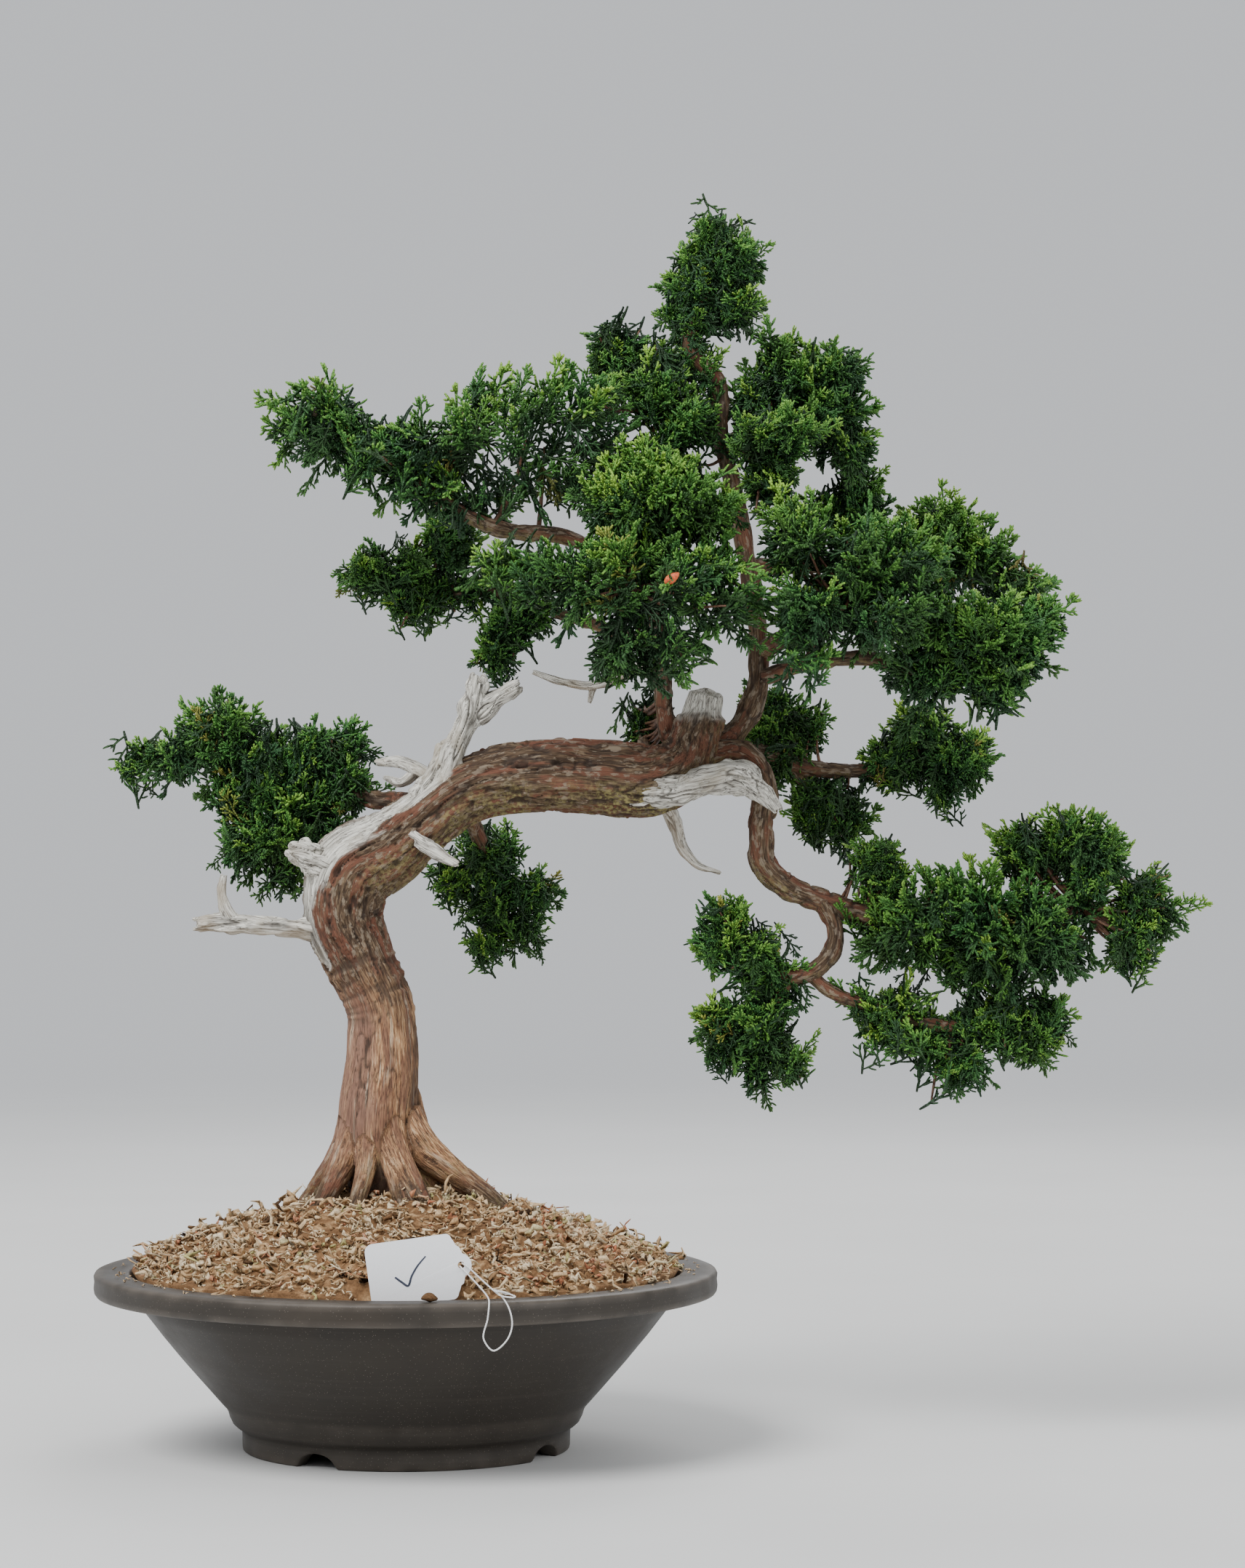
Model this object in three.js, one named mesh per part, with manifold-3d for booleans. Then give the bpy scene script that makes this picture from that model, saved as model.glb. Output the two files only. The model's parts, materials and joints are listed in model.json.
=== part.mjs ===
// A juniper bonsai in a round, wide-lipped clay pot.
// Millimetres, +Z up, +X to the right and +Y to the back of the tree's front view.
// Heights of the tree are measured from the level of the pot's rim.

import * as THREE from 'three';
import { mergeVertices } from 'three/addons/utils/BufferGeometryUtils.js';
import Module from 'manifold-3d';

const wasm = await Module();
wasm.setup();

// ---------------------------------------------------------------- driving dimensions

const GAP = 0.3; // clearance between pieces that touch

const POT_HEIGHT = 92;
const RIM_RADIUS = 160;
const LIP_WIDTH = 19;
const LIP_DEPTH = 12;
const LIP_OVERHANG = 25; // of the lip past the body, just under it
const BODY_FLARE = 43; // of the body from its waist to its shoulder
const WAIST_HEIGHT = 22;
const WALL = 8;
const FLOOR_THICKNESS = 8;
const FOOT_STEP = 8; // from the waist in to the foot
const FOOT_HEIGHT = 11;
const FOOT_RING_WIDTH = 10;
const FLOOR_CLEARANCE = 6; // from the table to the underside of the floor
const EDGE_ROUND = 1.6;
const BODY_CURVE = [0.52, 0.46]; // a point of the body's side, as shares of the way out and up

const NOTCH_HALF_WIDTH = 11;
const NOTCH_HEIGHT = 7;
const NOTCH_COUNT = 4;
const FIRST_NOTCH = -30; // degrees round from the front

const DRAIN_RADIUS = 16;
const WIRE_HOLE_RADIUS = 3;
const WIRE_HOLE_CIRCLE = 46;
const SCREEN_RADIUS = 25;
const SCREEN_THICKNESS = 1.4;
const SCREEN_HOLE = 5.4;
const SCREEN_PITCH = 9;
const CLIP_WIRE_RADIUS = 0.8;
const ANCHOR_WIRE_RADIUS = 1.1;
const ANCHOR_RISE = 12; // of the anchor wire above the rim

const MOSS_THICKNESS = 8;
const MOSS_RISE = 41; // of the mound's top above the rim
const MOSS_MARGIN = 1; // moss starts this far inside the lip's inner edge

const ANCHOR_BEHIND = 40; // the anchor wire passes this far behind the pot's middle
const ANCHOR_SPREAD = 30; // half the width of its top bend
const ANCHOR_DROP = 14; // of the bend's ends below its top
const ANCHOR_DRAW = 6; // of the bend's ends towards the front
const ANCHOR_CURVE_START = [4, 24]; // behind the wire hole and above the floor
const ANCHOR_STRAIGHT = 8; // straight run above the floor
const ANCHOR_HOOK = [2, 12]; // start and end of the bent-over run, inwards from the hole
const CLIP_TOE = 8; // the clip's feet reach this far past the drain hole

const TAG_LENGTH = 50.5;
const TAG_HEIGHT = 32;
const TAG_THICKNESS = 0.5;
const TAG_CORNER = 4;
const TAG_HOLE_RADIUS = 1.7;
const TAG_HOLE_INSET = 5;
const TAG_TILT = 8; // degrees, string end up
const TAG_LEFT = -12.2; // middle of the card's left edge
const TAG_RISE = 9.7; // the same point above the rim
const TAG_FROM_WALL = 3.59; // card plane in front of the pot's wall, at the card's foot
const TAG_NOSE = 0.2; // length of the narrowed end, as a share of the card's height
const NOSE_WIDTHS = [0.8, 0.6, 0.5]; // of the narrowing, as shares of half the height

const STRING_RADIUS = 0.4;

// How finely curved surfaces are faceted.
const LATHE_SEGMENTS = 32;
const TRUNK_SIDES = 12;
const TRUNK_STEP = 16; // length of one ring step along a limb
const LIMB_SIDES = 6;
const LIMB_STEP = 16;
const WIRE_STEP = 6;
const BIG_LOBE = 20; // lobes with this half-width or more have more facets
const LOBE_FACETS = { small: [6, 4], big: [8, 5] }; // around and down
const HOLE_SIDES = 24;
const WIRE_HOLE_SIDES = 12;
const NOTCH_SIDES = 16;
const CARD_CURVE_FACETS = 6;
const STRING_FACETS = 4;
const STRING_STEPS = 48;
const MERGE_DISTANCE = 1e-4;
const LOBE_FULLNESS = 1.1; // widens a faceted lobe to hold as much as a round one

// ---------------------------------------------------------------- materials

function material(color, roughness) {
  return new THREE.MeshStandardMaterial({ color, roughness, metalness: 0 });
}

const CLAY = material(0x4a4541, 0.75);
const SOIL = material(0x4b3c2f, 0.95);
const MOSS = material(0xb59b76, 0.95);
const BARK = material(0x7a5c48, 0.85);
const DEADWOOD = material(0xc9c8c0, 0.7);
const FOLIAGE = material(0x2c5526, 0.6);
const CARD = material(0xf2f3f5, 0.6);
const COTTON = material(0xf4f4f2, 0.9);
const MESH_PLASTIC = material(0x20221f, 0.5);
const WIRE = material(0x9a8f86, 0.4);

// ---------------------------------------------------------------- solids

function solid(geometry) {
  const bare = geometry.clone();
  bare.deleteAttribute('normal');
  bare.deleteAttribute('uv');
  const merged = mergeVertices(bare, MERGE_DISTANCE);
  return new wasm.Manifold(new wasm.Mesh({
    numProp: 3,
    vertProperties: new Float32Array(merged.attributes.position.array),
    triVerts: new Uint32Array(merged.index.array),
  }));
}

function geometryOf(manifold) {
  const { vertProperties, triVerts } = manifold.getMesh();
  const geometry = new THREE.BufferGeometry();
  geometry.setAttribute('position', new THREE.Float32BufferAttribute(vertProperties, 3));
  geometry.setIndex(Array.from(triVerts));
  geometry.computeVertexNormals();
  return geometry;
}

const union = (solids) => solids.reduce((whole, next) => whole.add(next));

const { lerp, degToRad: round } = THREE.MathUtils;

// A point at a radius and an angle round from the front, positive to the right.
function polar(radius, degrees, height) {
  return new THREE.Vector3(radius * Math.sin(round(degrees)), -radius * Math.cos(round(degrees)), height);
}

// A solid of revolution about Z from [radius, height] pairs that start and end on the axis.
function turned(profile) {
  const points = profile.map(([radius, height]) => new THREE.Vector2(radius, height));
  return new THREE.LatheGeometry(points, LATHE_SEGMENTS).rotateX(Math.PI / 2);
}

function uprightCylinder(radius, low, high, x = 0, y = 0, sides = HOLE_SIDES) {
  const shape = new THREE.CylinderGeometry(radius, radius, high - low, sides).rotateX(Math.PI / 2);
  return shape.translate(x, y, (low + high) / 2);
}

// A closed, tapered tube through [x, y, height, radius] points: a cylinder bent along the curve.
function limb(points, { grow = 0, step = LIMB_STEP, sides = LIMB_SIDES } = {}) {
  const places = points.map(([x, y, height]) => new THREE.Vector3(x, y, height));
  const curve = new THREE.CatmullRomCurve3(places, false, 'centripetal');
  const steps = Math.max(points.length - 1, Math.ceil(curve.getLength() / step));
  const frames = curve.computeFrenetFrames(steps, false);
  const tube = new THREE.CylinderGeometry(1, 1, 1, sides, steps);
  const position = tube.attributes.position;
  const spans = points.length - 1;
  for (let i = 0; i < position.count; i += 1) {
    const share = position.getY(i) + 0.5;
    const ring = Math.round(share * steps);
    const along = curve.getUtoTmapping(ring / steps) * spans;
    const before = Math.min(Math.floor(along), spans - 1);
    const radius = lerp(points[before][3], points[before + 1][3], along - before) + grow;
    const place = curve.getPointAt(ring / steps);
    const past = ring === 0 ? -grow : ring === steps ? grow : 0;
    place.addScaledVector(frames.tangents[ring], past);
    place.addScaledVector(frames.binormals[ring], position.getX(i) * radius);
    place.addScaledVector(frames.normals[ring], position.getZ(i) * radius);
    position.setXYZ(i, place.x, place.y, place.z);
  }
  return solid(tube);
}

// One growth with its forks: several limbs joined into one solid.
const growth = (limbs, options) => union(limbs.map((points) => limb(points, options)));

// A foliage pad: overlapping rounded lobes, each [x, y, height, half-width, half-depth, half-height].
function pad(lobes, { grow = 0 } = {}) {
  return union(lobes.map(([x, y, height, wide, deep, tall]) => {
    const [around, down] = wide < BIG_LOBE ? LOBE_FACETS.small : LOBE_FACETS.big;
    const lobe = new THREE.SphereGeometry(LOBE_FULLNESS, around, down).rotateX(Math.PI / 2);
    return solid(lobe.scale(wide + grow, deep + grow, tall + grow).translate(x, y, height));
  }));
}

// ---------------------------------------------------------------- pot

const OPENING_RADIUS = RIM_RADIUS - LIP_WIDTH;
const SHOULDER_RADIUS = RIM_RADIUS - LIP_OVERHANG;
const WAIST_RADIUS = SHOULDER_RADIUS - BODY_FLARE;
const FOOT_RADIUS = WAIST_RADIUS - FOOT_STEP;
const FLOOR_TOP = FLOOR_CLEARANCE + FLOOR_THICKNESS;
const LIP_UNDERSIDE = POT_HEIGHT - LIP_DEPTH;
const SHOULDER_HEIGHT = LIP_UNDERSIDE - WALL;
const INNER_FLOOR_RADIUS = WAIST_RADIUS - WALL - 2 * GAP;

function pot() {
  const outside = [
    [FOOT_RADIUS - FOOT_RING_WIDTH, FLOOR_CLEARANCE],
    [FOOT_RADIUS - FOOT_RING_WIDTH, 0],
    [FOOT_RADIUS - EDGE_ROUND, 0],
    [FOOT_RADIUS, EDGE_ROUND],
    [FOOT_RADIUS, FOOT_HEIGHT],
    [(FOOT_RADIUS + WAIST_RADIUS) / 2 + EDGE_ROUND, FOOT_HEIGHT + 2 * EDGE_ROUND],
    [WAIST_RADIUS, WAIST_HEIGHT],
    [lerp(WAIST_RADIUS, SHOULDER_RADIUS, BODY_CURVE[0]), lerp(WAIST_HEIGHT, SHOULDER_HEIGHT, BODY_CURVE[1])],
    [SHOULDER_RADIUS, SHOULDER_HEIGHT],
    [SHOULDER_RADIUS + EDGE_ROUND, LIP_UNDERSIDE],
    [RIM_RADIUS - EDGE_ROUND, LIP_UNDERSIDE],
    [RIM_RADIUS, LIP_UNDERSIDE + EDGE_ROUND],
    [RIM_RADIUS, POT_HEIGHT - EDGE_ROUND],
    [RIM_RADIUS - EDGE_ROUND, POT_HEIGHT],
  ];
  const inside = [
    [OPENING_RADIUS, POT_HEIGHT],
    [SHOULDER_RADIUS - WALL, SHOULDER_HEIGHT],
    [INNER_FLOOR_RADIUS, FLOOR_TOP],
  ];
  const shell = turned([[0, FLOOR_CLEARANCE], ...outside, ...inside, [0, FLOOR_TOP]]);
  let body = solid(shell);
  body = body.subtract(solid(uprightCylinder(DRAIN_RADIUS, 0, 2 * FLOOR_TOP)));
  for (let i = 0; i < NOTCH_COUNT; i += 1) {
    const turn = FIRST_NOTCH + (i * 360) / NOTCH_COUNT;
    const notch = new THREE.CylinderGeometry(1, 1, 2 * FOOT_RING_WIDTH, NOTCH_SIDES);
    notch.scale(NOTCH_HALF_WIDTH, 1, NOTCH_HEIGHT).rotateZ(round(turn));
    const middle = polar(FOOT_RADIUS - FOOT_RING_WIDTH / 2, turn, 0);
    body = body.subtract(solid(notch.translate(middle.x, middle.y, middle.z)));
  }
  for (const side of [-1, 1]) {
    const middle = side * WIRE_HOLE_CIRCLE;
    const hole = uprightCylinder(WIRE_HOLE_RADIUS, 0, 2 * FLOOR_TOP, middle, 0, WIRE_HOLE_SIDES);
    body = body.subtract(solid(hole));
  }
  return body;
}

// ---------------------------------------------------------------- drainage and anchor wire

const SCREEN_BASE = FLOOR_TOP + GAP;

const screenBlank = (grow) => solid(
  uprightCylinder(SCREEN_RADIUS + grow, SCREEN_BASE - grow, SCREEN_BASE + SCREEN_THICKNESS + grow),
);

function drainScreen() {
  let screen = screenBlank(0);
  const reach = Math.floor(DRAIN_RADIUS / SCREEN_PITCH);
  for (let column = -reach; column <= reach; column += 1) {
    for (let row = -reach; row <= reach; row += 1) {
      const hole = new THREE.BoxGeometry(SCREEN_HOLE, SCREEN_HOLE, 4 * SCREEN_THICKNESS);
      hole.translate(column * SCREEN_PITCH, row * SCREEN_PITCH, SCREEN_BASE);
      screen = screen.subtract(solid(hole));
    }
  }
  return screen;
}

// Half a wire's route, from its middle, and the same again on the other side.
function mirrored(half, radius) {
  const other = half.slice(1).reverse().map(([x, y, height]) => [-x, y, height]);
  return [...other, ...half].map((point) => [...point, radius]);
}

// A staple over the screen, down through two of its holes and out under the pot's floor.
function screenClip(grow = 0) {
  const top = SCREEN_BASE + SCREEN_THICKNESS + CLIP_WIRE_RADIUS + GAP;
  const under = FLOOR_CLEARANCE - CLIP_WIRE_RADIUS - GAP;
  const leg = SCREEN_PITCH;
  const toe = DRAIN_RADIUS + CLIP_TOE;
  const bend = 2 * CLIP_WIRE_RADIUS;
  const half = [
    [0, 0, top],
    [leg - bend, 0, top],
    [leg, 0, top - bend],
    [leg, 0, under + bend],
    [leg + bend, 0, under],
    [toe, 0, under],
  ];
  return limb(mirrored(half, CLIP_WIRE_RADIUS), { grow, step: WIRE_STEP });
}

// The wire that holds the root ball: out through both wire holes and bent over under the floor.
function anchorWire(grow = 0) {
  const under = FLOOR_CLEARANCE - ANCHOR_WIRE_RADIUS - GAP;
  const top = POT_HEIGHT + ANCHOR_RISE;
  const hole = WIRE_HOLE_CIRCLE;
  const half = [
    [0, ANCHOR_BEHIND, top],
    [ANCHOR_SPREAD, ANCHOR_BEHIND - ANCHOR_DRAW, top - ANCHOR_DROP],
    [hole, ANCHOR_CURVE_START[0], FLOOR_TOP + ANCHOR_CURVE_START[1]],
    [hole, 0, FLOOR_TOP + ANCHOR_STRAIGHT],
    [hole, 0, FLOOR_CLEARANCE],
    [hole - ANCHOR_HOOK[0], 0, under],
    [hole - ANCHOR_HOOK[1], 0, under],
  ];
  return limb(mirrored(half, ANCHOR_WIRE_RADIUS), { grow, step: 2 * WIRE_STEP });
}

// ---------------------------------------------------------------- the tree's wood

// The whole tree stands at the level of the rim.
const raised = (rows) => rows.map(([x, y, height, ...rest]) => [x, y, height + POT_HEIGHT, ...rest]);

const TRUNK_LINE = [
  [-13, 0, 6, 27], [-13, 0, 38, 26], [-13, 0, 55, 22.5], [-14, 0, 74, 20.2], [-12, 0, 112, 18],
  [-14, 0, 136, 17.5], [-24, 0, 158, 18], [-33, 0, 184, 20.5], [-28, 0, 204, 22], [-10, 0, 216, 19.5],
  [6, 0, 228, 17], [28, 0, 245, 16.5], [62, 0, 253, 18], [100, 0, 252, 18.5], [128, 0, 251, 18],
  [144, -1, 260, 15.5], [150, -2, 278, 12], [154, -3, 296, 9.5],
];

const ROOTS = [
  [[-20, -4, 64, 11], [-36, -6, 46, 9], [-48, -8, 30, 7], [-62, -10, 12, 4]],
  [[-2, 0, 70, 11], [14, -2, 60, 9], [32, -3, 48, 7.5], [50, -4, 37, 6], [68, -6, 18, 4]],
  [[-16, -10, 60, 10], [-22, -26, 40, 8], [-28, -42, 18, 5]],
  [[-6, -12, 58, 10], [4, -28, 38, 8], [12, -44, 16, 5]],
  [[-16, 10, 60, 10], [-26, 30, 38, 8], [-34, 50, 14, 5]],
  [[-4, 12, 58, 10], [14, 30, 38, 8], [30, 48, 14, 5]],
];

const SHORT_TWIG = [[122, 12, 264, 3.6], [122, 32, 270, 2.8], [123, 46, 276, 2]];

const DEAD_BRANCHES = {
  jin_tall_fork: [
    [[10, -3, 238, 9.5], [20, -4, 255, 9.5], [28, -4, 273, 7.2], [33, -4, 285, 6.4],
      [36.5, -5, 303, 2.4]],
    [[31, -4, 281, 5.6], [42, -4, 291, 4], [57, -3, 299, 2]],
  ],
  jin_knob: [[[-34, -8, 206, 10], [-46, -10, 214, 7.5], [-57, -11, 216, 3.6]]],
  jin_left_fork: [
    [[-40, -3, 173, 7], [-58, -4, 175, 5.6], [-76, -5, 176, 5.4], [-92, -5, 177.5, 4.8],
      [-107, -6, 177, 2.6]],
    [[-88, -5, 177, 3.8], [-93, -6, 186, 3], [-94.5, -6, 194, 2], [-93.5, -6, 201, 1.2]],
  ],
  jin_front_stub: [[[0, -10, 224, 5], [9, -19, 219, 4.2], [20, -25, 213, 3.4], [29, -28, 209, 2.4]]],
  jin_back_antler: [
    [[16, 10, 246, 5.5], [6, 20, 255, 4.5], [-5, 25, 260, 3.4], [-16, 28, 260, 1.8]],
    [[4, 21, 254, 3.6], [-4, 20, 249, 2.8], [-12, 20, 252, 1.6]],
  ],
  jin_branch_end: [
    [[116, -10, 246, 8], [140, -15, 247, 8.6], [158, -19, 251, 9.6], [172, -21, 252, 9],
      [181, -22, 246, 5.5],
      [189, -23, 237, 2.8]],
  ],
  jin_lower_twig: [[[132, 6, 240, 6], [137, 10, 229, 4.4], [142, 11, 216, 3], [150, 11, 207, 2.1],
    [161, 10, 203, 1.2]]],
  jin_upper_twig: [
    [[130, 14, 305, 3.4], [116, 26, 308, 3.2], [105, 30, 303, 3], [94, 30, 300, 2.6],
      [80, 30, 302, 2.1], [65, 30, 307, 1.3]],
    [[96, 30, 300, 2.2], [94, 30, 292, 1.1]],
  ],
};

const LIVE_BRANCHES = {
  branch_leader: [
    [[146, 4, 258, 9], [162, 6, 268, 7.4], [172, 7, 279, 6.2], [179, 7, 294, 5.6], [181, 7, 314, 5.2],
      [179, 7, 342, 5],
      [174, 8, 372, 4.8], [168, 8, 402, 4.6], [161, 8, 432, 4.4], [160, 10, 456, 4.4],
        [148, 11, 470, 4.2],
      [146, 13, 486, 3.8], [155, 16, 506, 3.2], [156, 18, 524, 2.4]],
  ],
  branch_left_riser: [
    [[140, 6, 262, 6], [133, 9, 284, 5], [131, 10, 308, 4.8], [126, 0, 334, 4.6],
      [112, -14, 358, 4.4], [84, -20, 374, 4.2],
      [48, -20, 379, 4], [28, -20, 388, 3.8], [-2, -20, 411, 3.4], [-28, -21, 428, 2.8],
        [-46, -22, 438, 2]],
  ],
  branch_left_middle: [
    [[128, 12, 318, 4], [102, 30, 330, 3.6], [72, 42, 340, 3.2], [44, 48, 349, 2.8],
      [10, 51, 348, 2.4], [-10, 52, 355, 1.8]],
    [[66, 43, 341, 2.4], [58, 40, 336, 2], [52, 38, 330, 1.5]],
  ],
  branch_front: [
    [[129, 2, 322, 4.2], [124, -22, 330, 4], [116, -52, 340, 3.6], [112, -78, 346, 2.8]],
    [[118, -46, 338, 2.8], [124, -56, 362, 2.4], [128, -62, 384, 1.8]],
  ],
  branch_front_right: [
    [[184, 2, 318, 4.4], [194, -24, 324, 4.2], [208, -50, 334, 3.8], [226, -66, 344, 3],
      [244, -68, 350, 2.2]],
  ],
  branch_far_right: [
    [[185, 0, 304, 4.4], [208, -18, 311, 4.2], [240, -34, 312, 3.8], [268, -40, 304, 3.2],
      [292, -41, 310, 2.2]],
  ],
  branch_right_back: [
    [[176, 12, 362, 4.2], [202, 32, 362, 3.8], [238, 50, 368, 3.2], [270, 58, 374, 2.6],
      [300, 60, 366, 2]],
    [[232, 48, 367, 2.4], [236, 50, 380, 2], [235, 50, 394, 1.6]],
  ],
  branch_upper_right: [
    [[165, 9, 426, 3.8], [184, 14, 432, 3.4], [206, 18, 440, 2.8], [224, 20, 452, 2]],
    [[182, 14, 432, 2.6], [186, 0, 428, 2.4], [188, -14, 419, 1.8]],
  ],
  branch_upper_front: [[[157, 6, 440, 3.4], [144, 0, 438, 2.8], [130, -3, 442, 2]]],
  branch_apex_left: [[[150, 12, 464, 2.8], [136, 15, 467, 2.6], [119, 18, 463, 2.2],
    [106, 20, 469, 1.6]]],
  branch_back_right: [
    [[148, 10, 256, 6.4], [164, 28, 264, 5.6], [180, 46, 266, 5], [212, 60, 257, 4.4],
      [240, 67, 256, 3.4], [268, 70, 262, 2.4]],
    [[198, 55, 261, 3.2], [208, 62, 248, 2.8], [220, 67, 238, 2]],
  ],
  branch_left_back: [
    [[2, 10, 234, 6.5], [-4, 34, 240, 5.2], [-22, 54, 242, 4.8], [-38, 62, 252, 4.6],
      [-58, 66, 257, 4.2], [-78, 68, 260, 3.6],
      [-108, 69, 268, 2.2]],
    [[-40, 62, 252, 3.4], [-54, 65, 240, 2.8], [-68, 66, 226, 2]],
  ],
  branch_behind_trunk: [[[30, 12, 242, 4.8], [34, 36, 226, 4], [40, 56, 210, 3.2], [46, 68, 194, 2.2]]],
  branch_cascade: [
    [[146, 1, 255, 9], [160, -1, 264, 7.8], [171, -2, 265, 7.2], [181, -2, 257, 6.8],
      [184, -2, 244, 6.5], [182, -2, 224, 6.3],
      [183, -2, 209, 6.3], [193, -2, 198, 6.3], [210, -2, 190, 6.1], [232, -2, 183, 5.6],
        [262, -4, 172, 5], [300, -4, 164, 4.4],
      [326, -3, 170, 3.4], [346, -2, 186, 2.4]],
    [[214, -3, 188, 5.2], [220, -5, 176, 4.9], [219, -6, 164, 4.8], [207, -7, 152, 4.4],
      [192, -8, 150, 3.4],
      [178, -9, 160, 2.2]],
    [[206, -6, 152, 3.8], [214, -6, 145, 3.8], [240, -6, 134, 3.6], [277, -5, 125, 3], [304, -4, 126, 2]],
    [[198, -7, 150, 3], [188, -5, 136, 2.6], [178, -3, 124, 1.8]],
  ],
};

// ---------------------------------------------------------------- foliage

const FOLIAGE_PADS = {
  pad_upper_left: [
    [-50, -20, 438, 19, 21, 12], [-41, -24, 420, 18, 20, 13], [-16, -22, 411, 19, 21, 14],
      [7, -20, 423, 19, 24, 17],
    [34, -20, 419, 25, 30, 22], [43, -6, 443, 12, 16, 14], [66, -22, 424, 25, 30, 24],
      [94, -20, 432, 23, 30, 25],
    [86, -24, 404, 20, 24, 14], [56, -16, 399, 24, 22, 11],
  ],
  pad_left_middle: [[-22, 50, 360, 16, 18, 13], [0, 50, 362, 15, 20, 13], [22, 50, 375, 16, 20, 16],
    [-4, 50, 347, 13, 14, 9]],
  pad_left_hanging: [[52, 37, 333, 16, 15, 11], [46, 37, 317, 11, 12, 9]],
  pad_front_centre: [
    [54, -78, 356, 16, 13, 7], [84, -80, 350, 23, 26, 20], [112, -86, 345, 24, 28, 23],
      [140, -88, 342, 23, 28, 24],
    [161, -82, 342, 18, 25, 23], [128, -84, 318, 26, 24, 13], [110, -78, 311, 14, 16, 12],
  ],
  pad_front_upper: [[118, -64, 387, 25, 24, 18], [147, -68, 384, 22, 24, 16],
    [122, -60, 402, 16, 18, 11]],
  pad_front_right: [
    [199, -78, 370, 19, 24, 19], [222, -76, 360, 21, 26, 21], [250, -68, 354, 21, 24, 19],
      [206, -80, 336, 23, 26, 17],
    [236, -76, 332, 21, 24, 15], [202, -76, 314, 17, 20, 10],
  ],
  pad_far_right: [
    [271, -42, 326, 17, 20, 15], [296, -42, 322, 20, 24, 17], [311, -40, 314, 14, 18, 14],
      [300, -38, 300, 19, 18, 8],
    [318, -38, 331, 15, 13, 9],
  ],
  pad_right_back: [[278, 60, 384, 17, 22, 13], [296, 60, 366, 21, 24, 17], [318, 58, 352, 18, 20, 12],
    [263, 55, 372, 13, 18, 11]],
  pad_upper_right: [
    [196, 18, 458, 17, 22, 15], [220, 20, 462, 20, 24, 14], [212, 20, 441, 25, 24, 14],
      [228, 22, 425, 13, 18, 11],
    [190, 15, 475, 10, 12, 8], [181, 17, 450, 11, 15, 12],
  ],
  pad_right_middle: [[236, 50, 402, 13, 14, 13], [223, 48, 391, 12, 14, 9]],
  pad_centre_right: [[178, -24, 420, 15, 18, 12], [195, -22, 426, 13, 18, 11],
    [186, -20, 405, 17, 20, 10]],
  pad_centre_upper: [[126, -4, 450, 17, 21, 13], [143, -8, 432, 13, 20, 14], [134, -10, 414, 12, 18, 10]],
  pad_apex: [
    [159, 20, 534, 12, 13, 12], [149, 20, 518, 12, 14, 12], [172, 20, 519, 13, 17, 16],
      [148, 20, 505, 15, 19, 12],
    [137, 20, 493, 13, 15, 9], [168, 18, 495, 16, 19, 13],
  ],
  pad_apex_left: [[102, 20, 472, 12, 12, 8], [115, 20, 466, 8, 9, 6]],
  pad_left_back: [
    [-100, 68, 276, 23, 24, 15], [-130, 70, 264, 15, 18, 10], [-149, 70, 258, 12, 10, 6],
      [-78, 66, 262, 17, 20, 13],
    [-42, 66, 266, 17, 18, 11], [-58, 66, 262, 14, 18, 11],
  ],
  pad_left_lower: [
    [-62, 66, 238, 22, 21, 11], [-94, 70, 242, 19, 19, 11], [-78, 64, 217, 24, 21, 15],
      [-46, 62, 221, 18, 18, 12],
    [-66, 64, 200, 15, 14, 9],
  ],
  pad_behind_trunk: [
    [42, 70, 212, 17, 16, 13], [61, 70, 190, 17, 18, 14], [40, 70, 183, 16, 16, 12],
      [39, 70, 166, 13, 14, 8],
    [59, 70, 170, 13, 12, 10], [22, 68, 198, 13, 14, 10],
  ],
  pad_back_small: [[124, 50, 279, 11, 12, 9]],
  pad_back_centre: [[190, 68, 288, 17, 18, 12], [207, 70, 278, 14, 16, 14], [185, 61, 274, 13, 15, 8]],
  pad_back_right: [
    [268, 70, 276, 19, 20, 13], [284, 70, 258, 20, 20, 13], [258, 70, 262, 14, 16, 11],
      [297, 70, 268, 13, 12, 8],
    [280, 70, 245, 14, 14, 8],
  ],
  pad_back_lower: [[212, 68, 234, 16, 16, 9], [230, 70, 230, 14, 14, 9]],
  pad_cascade_upper_left: [[164, -10, 177, 17, 19, 12], [179, -10, 163, 14, 17, 11],
    [158, -10, 165, 12, 14, 8]],
  pad_cascade_lower_left: [
    [160, -2, 126, 15, 18, 11], [179, -4, 124, 17, 20, 12], [192, -4, 109, 15, 18, 10],
      [188, -2, 99, 11, 13, 8],
    [164, -4, 114, 14, 14, 8],
  ],
  pad_cascade_top: [[240, 0, 209, 12, 14, 11], [245, 0, 199, 13, 15, 8]],
  pad_cascade_main: [
    [248, -8, 174, 14, 19, 13], [268, -12, 179, 19, 26, 21], [292, -12, 179, 21, 28, 22],
      [318, -12, 175, 21, 28, 20],
    [338, -8, 166, 16, 24, 18], [300, -8, 154, 24, 22, 13],
  ],
  pad_cascade_crown: [[316, -4, 213, 14, 18, 13], [338, -4, 217, 17, 22, 13],
    [357, -4, 212, 16, 20, 13], [350, -6, 199, 15, 20, 9]],
  pad_cascade_tip: [[375, 0, 191, 13, 16, 11], [384, 0, 181, 11, 12, 10], [369, -3, 173, 10, 16, 9],
    [372, 0, 161, 11, 12, 9]],
  pad_cascade_lower_right: [[305, -4, 129, 16, 18, 11], [329, -2, 131, 15, 16, 11],
    [321, -4, 117, 16, 14, 9]],
  pad_cascade_lowest: [[246, -5, 126, 15, 15, 10], [267, -5, 117, 17, 16, 11], [284, -4, 105, 14, 13, 9]],
};

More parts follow.
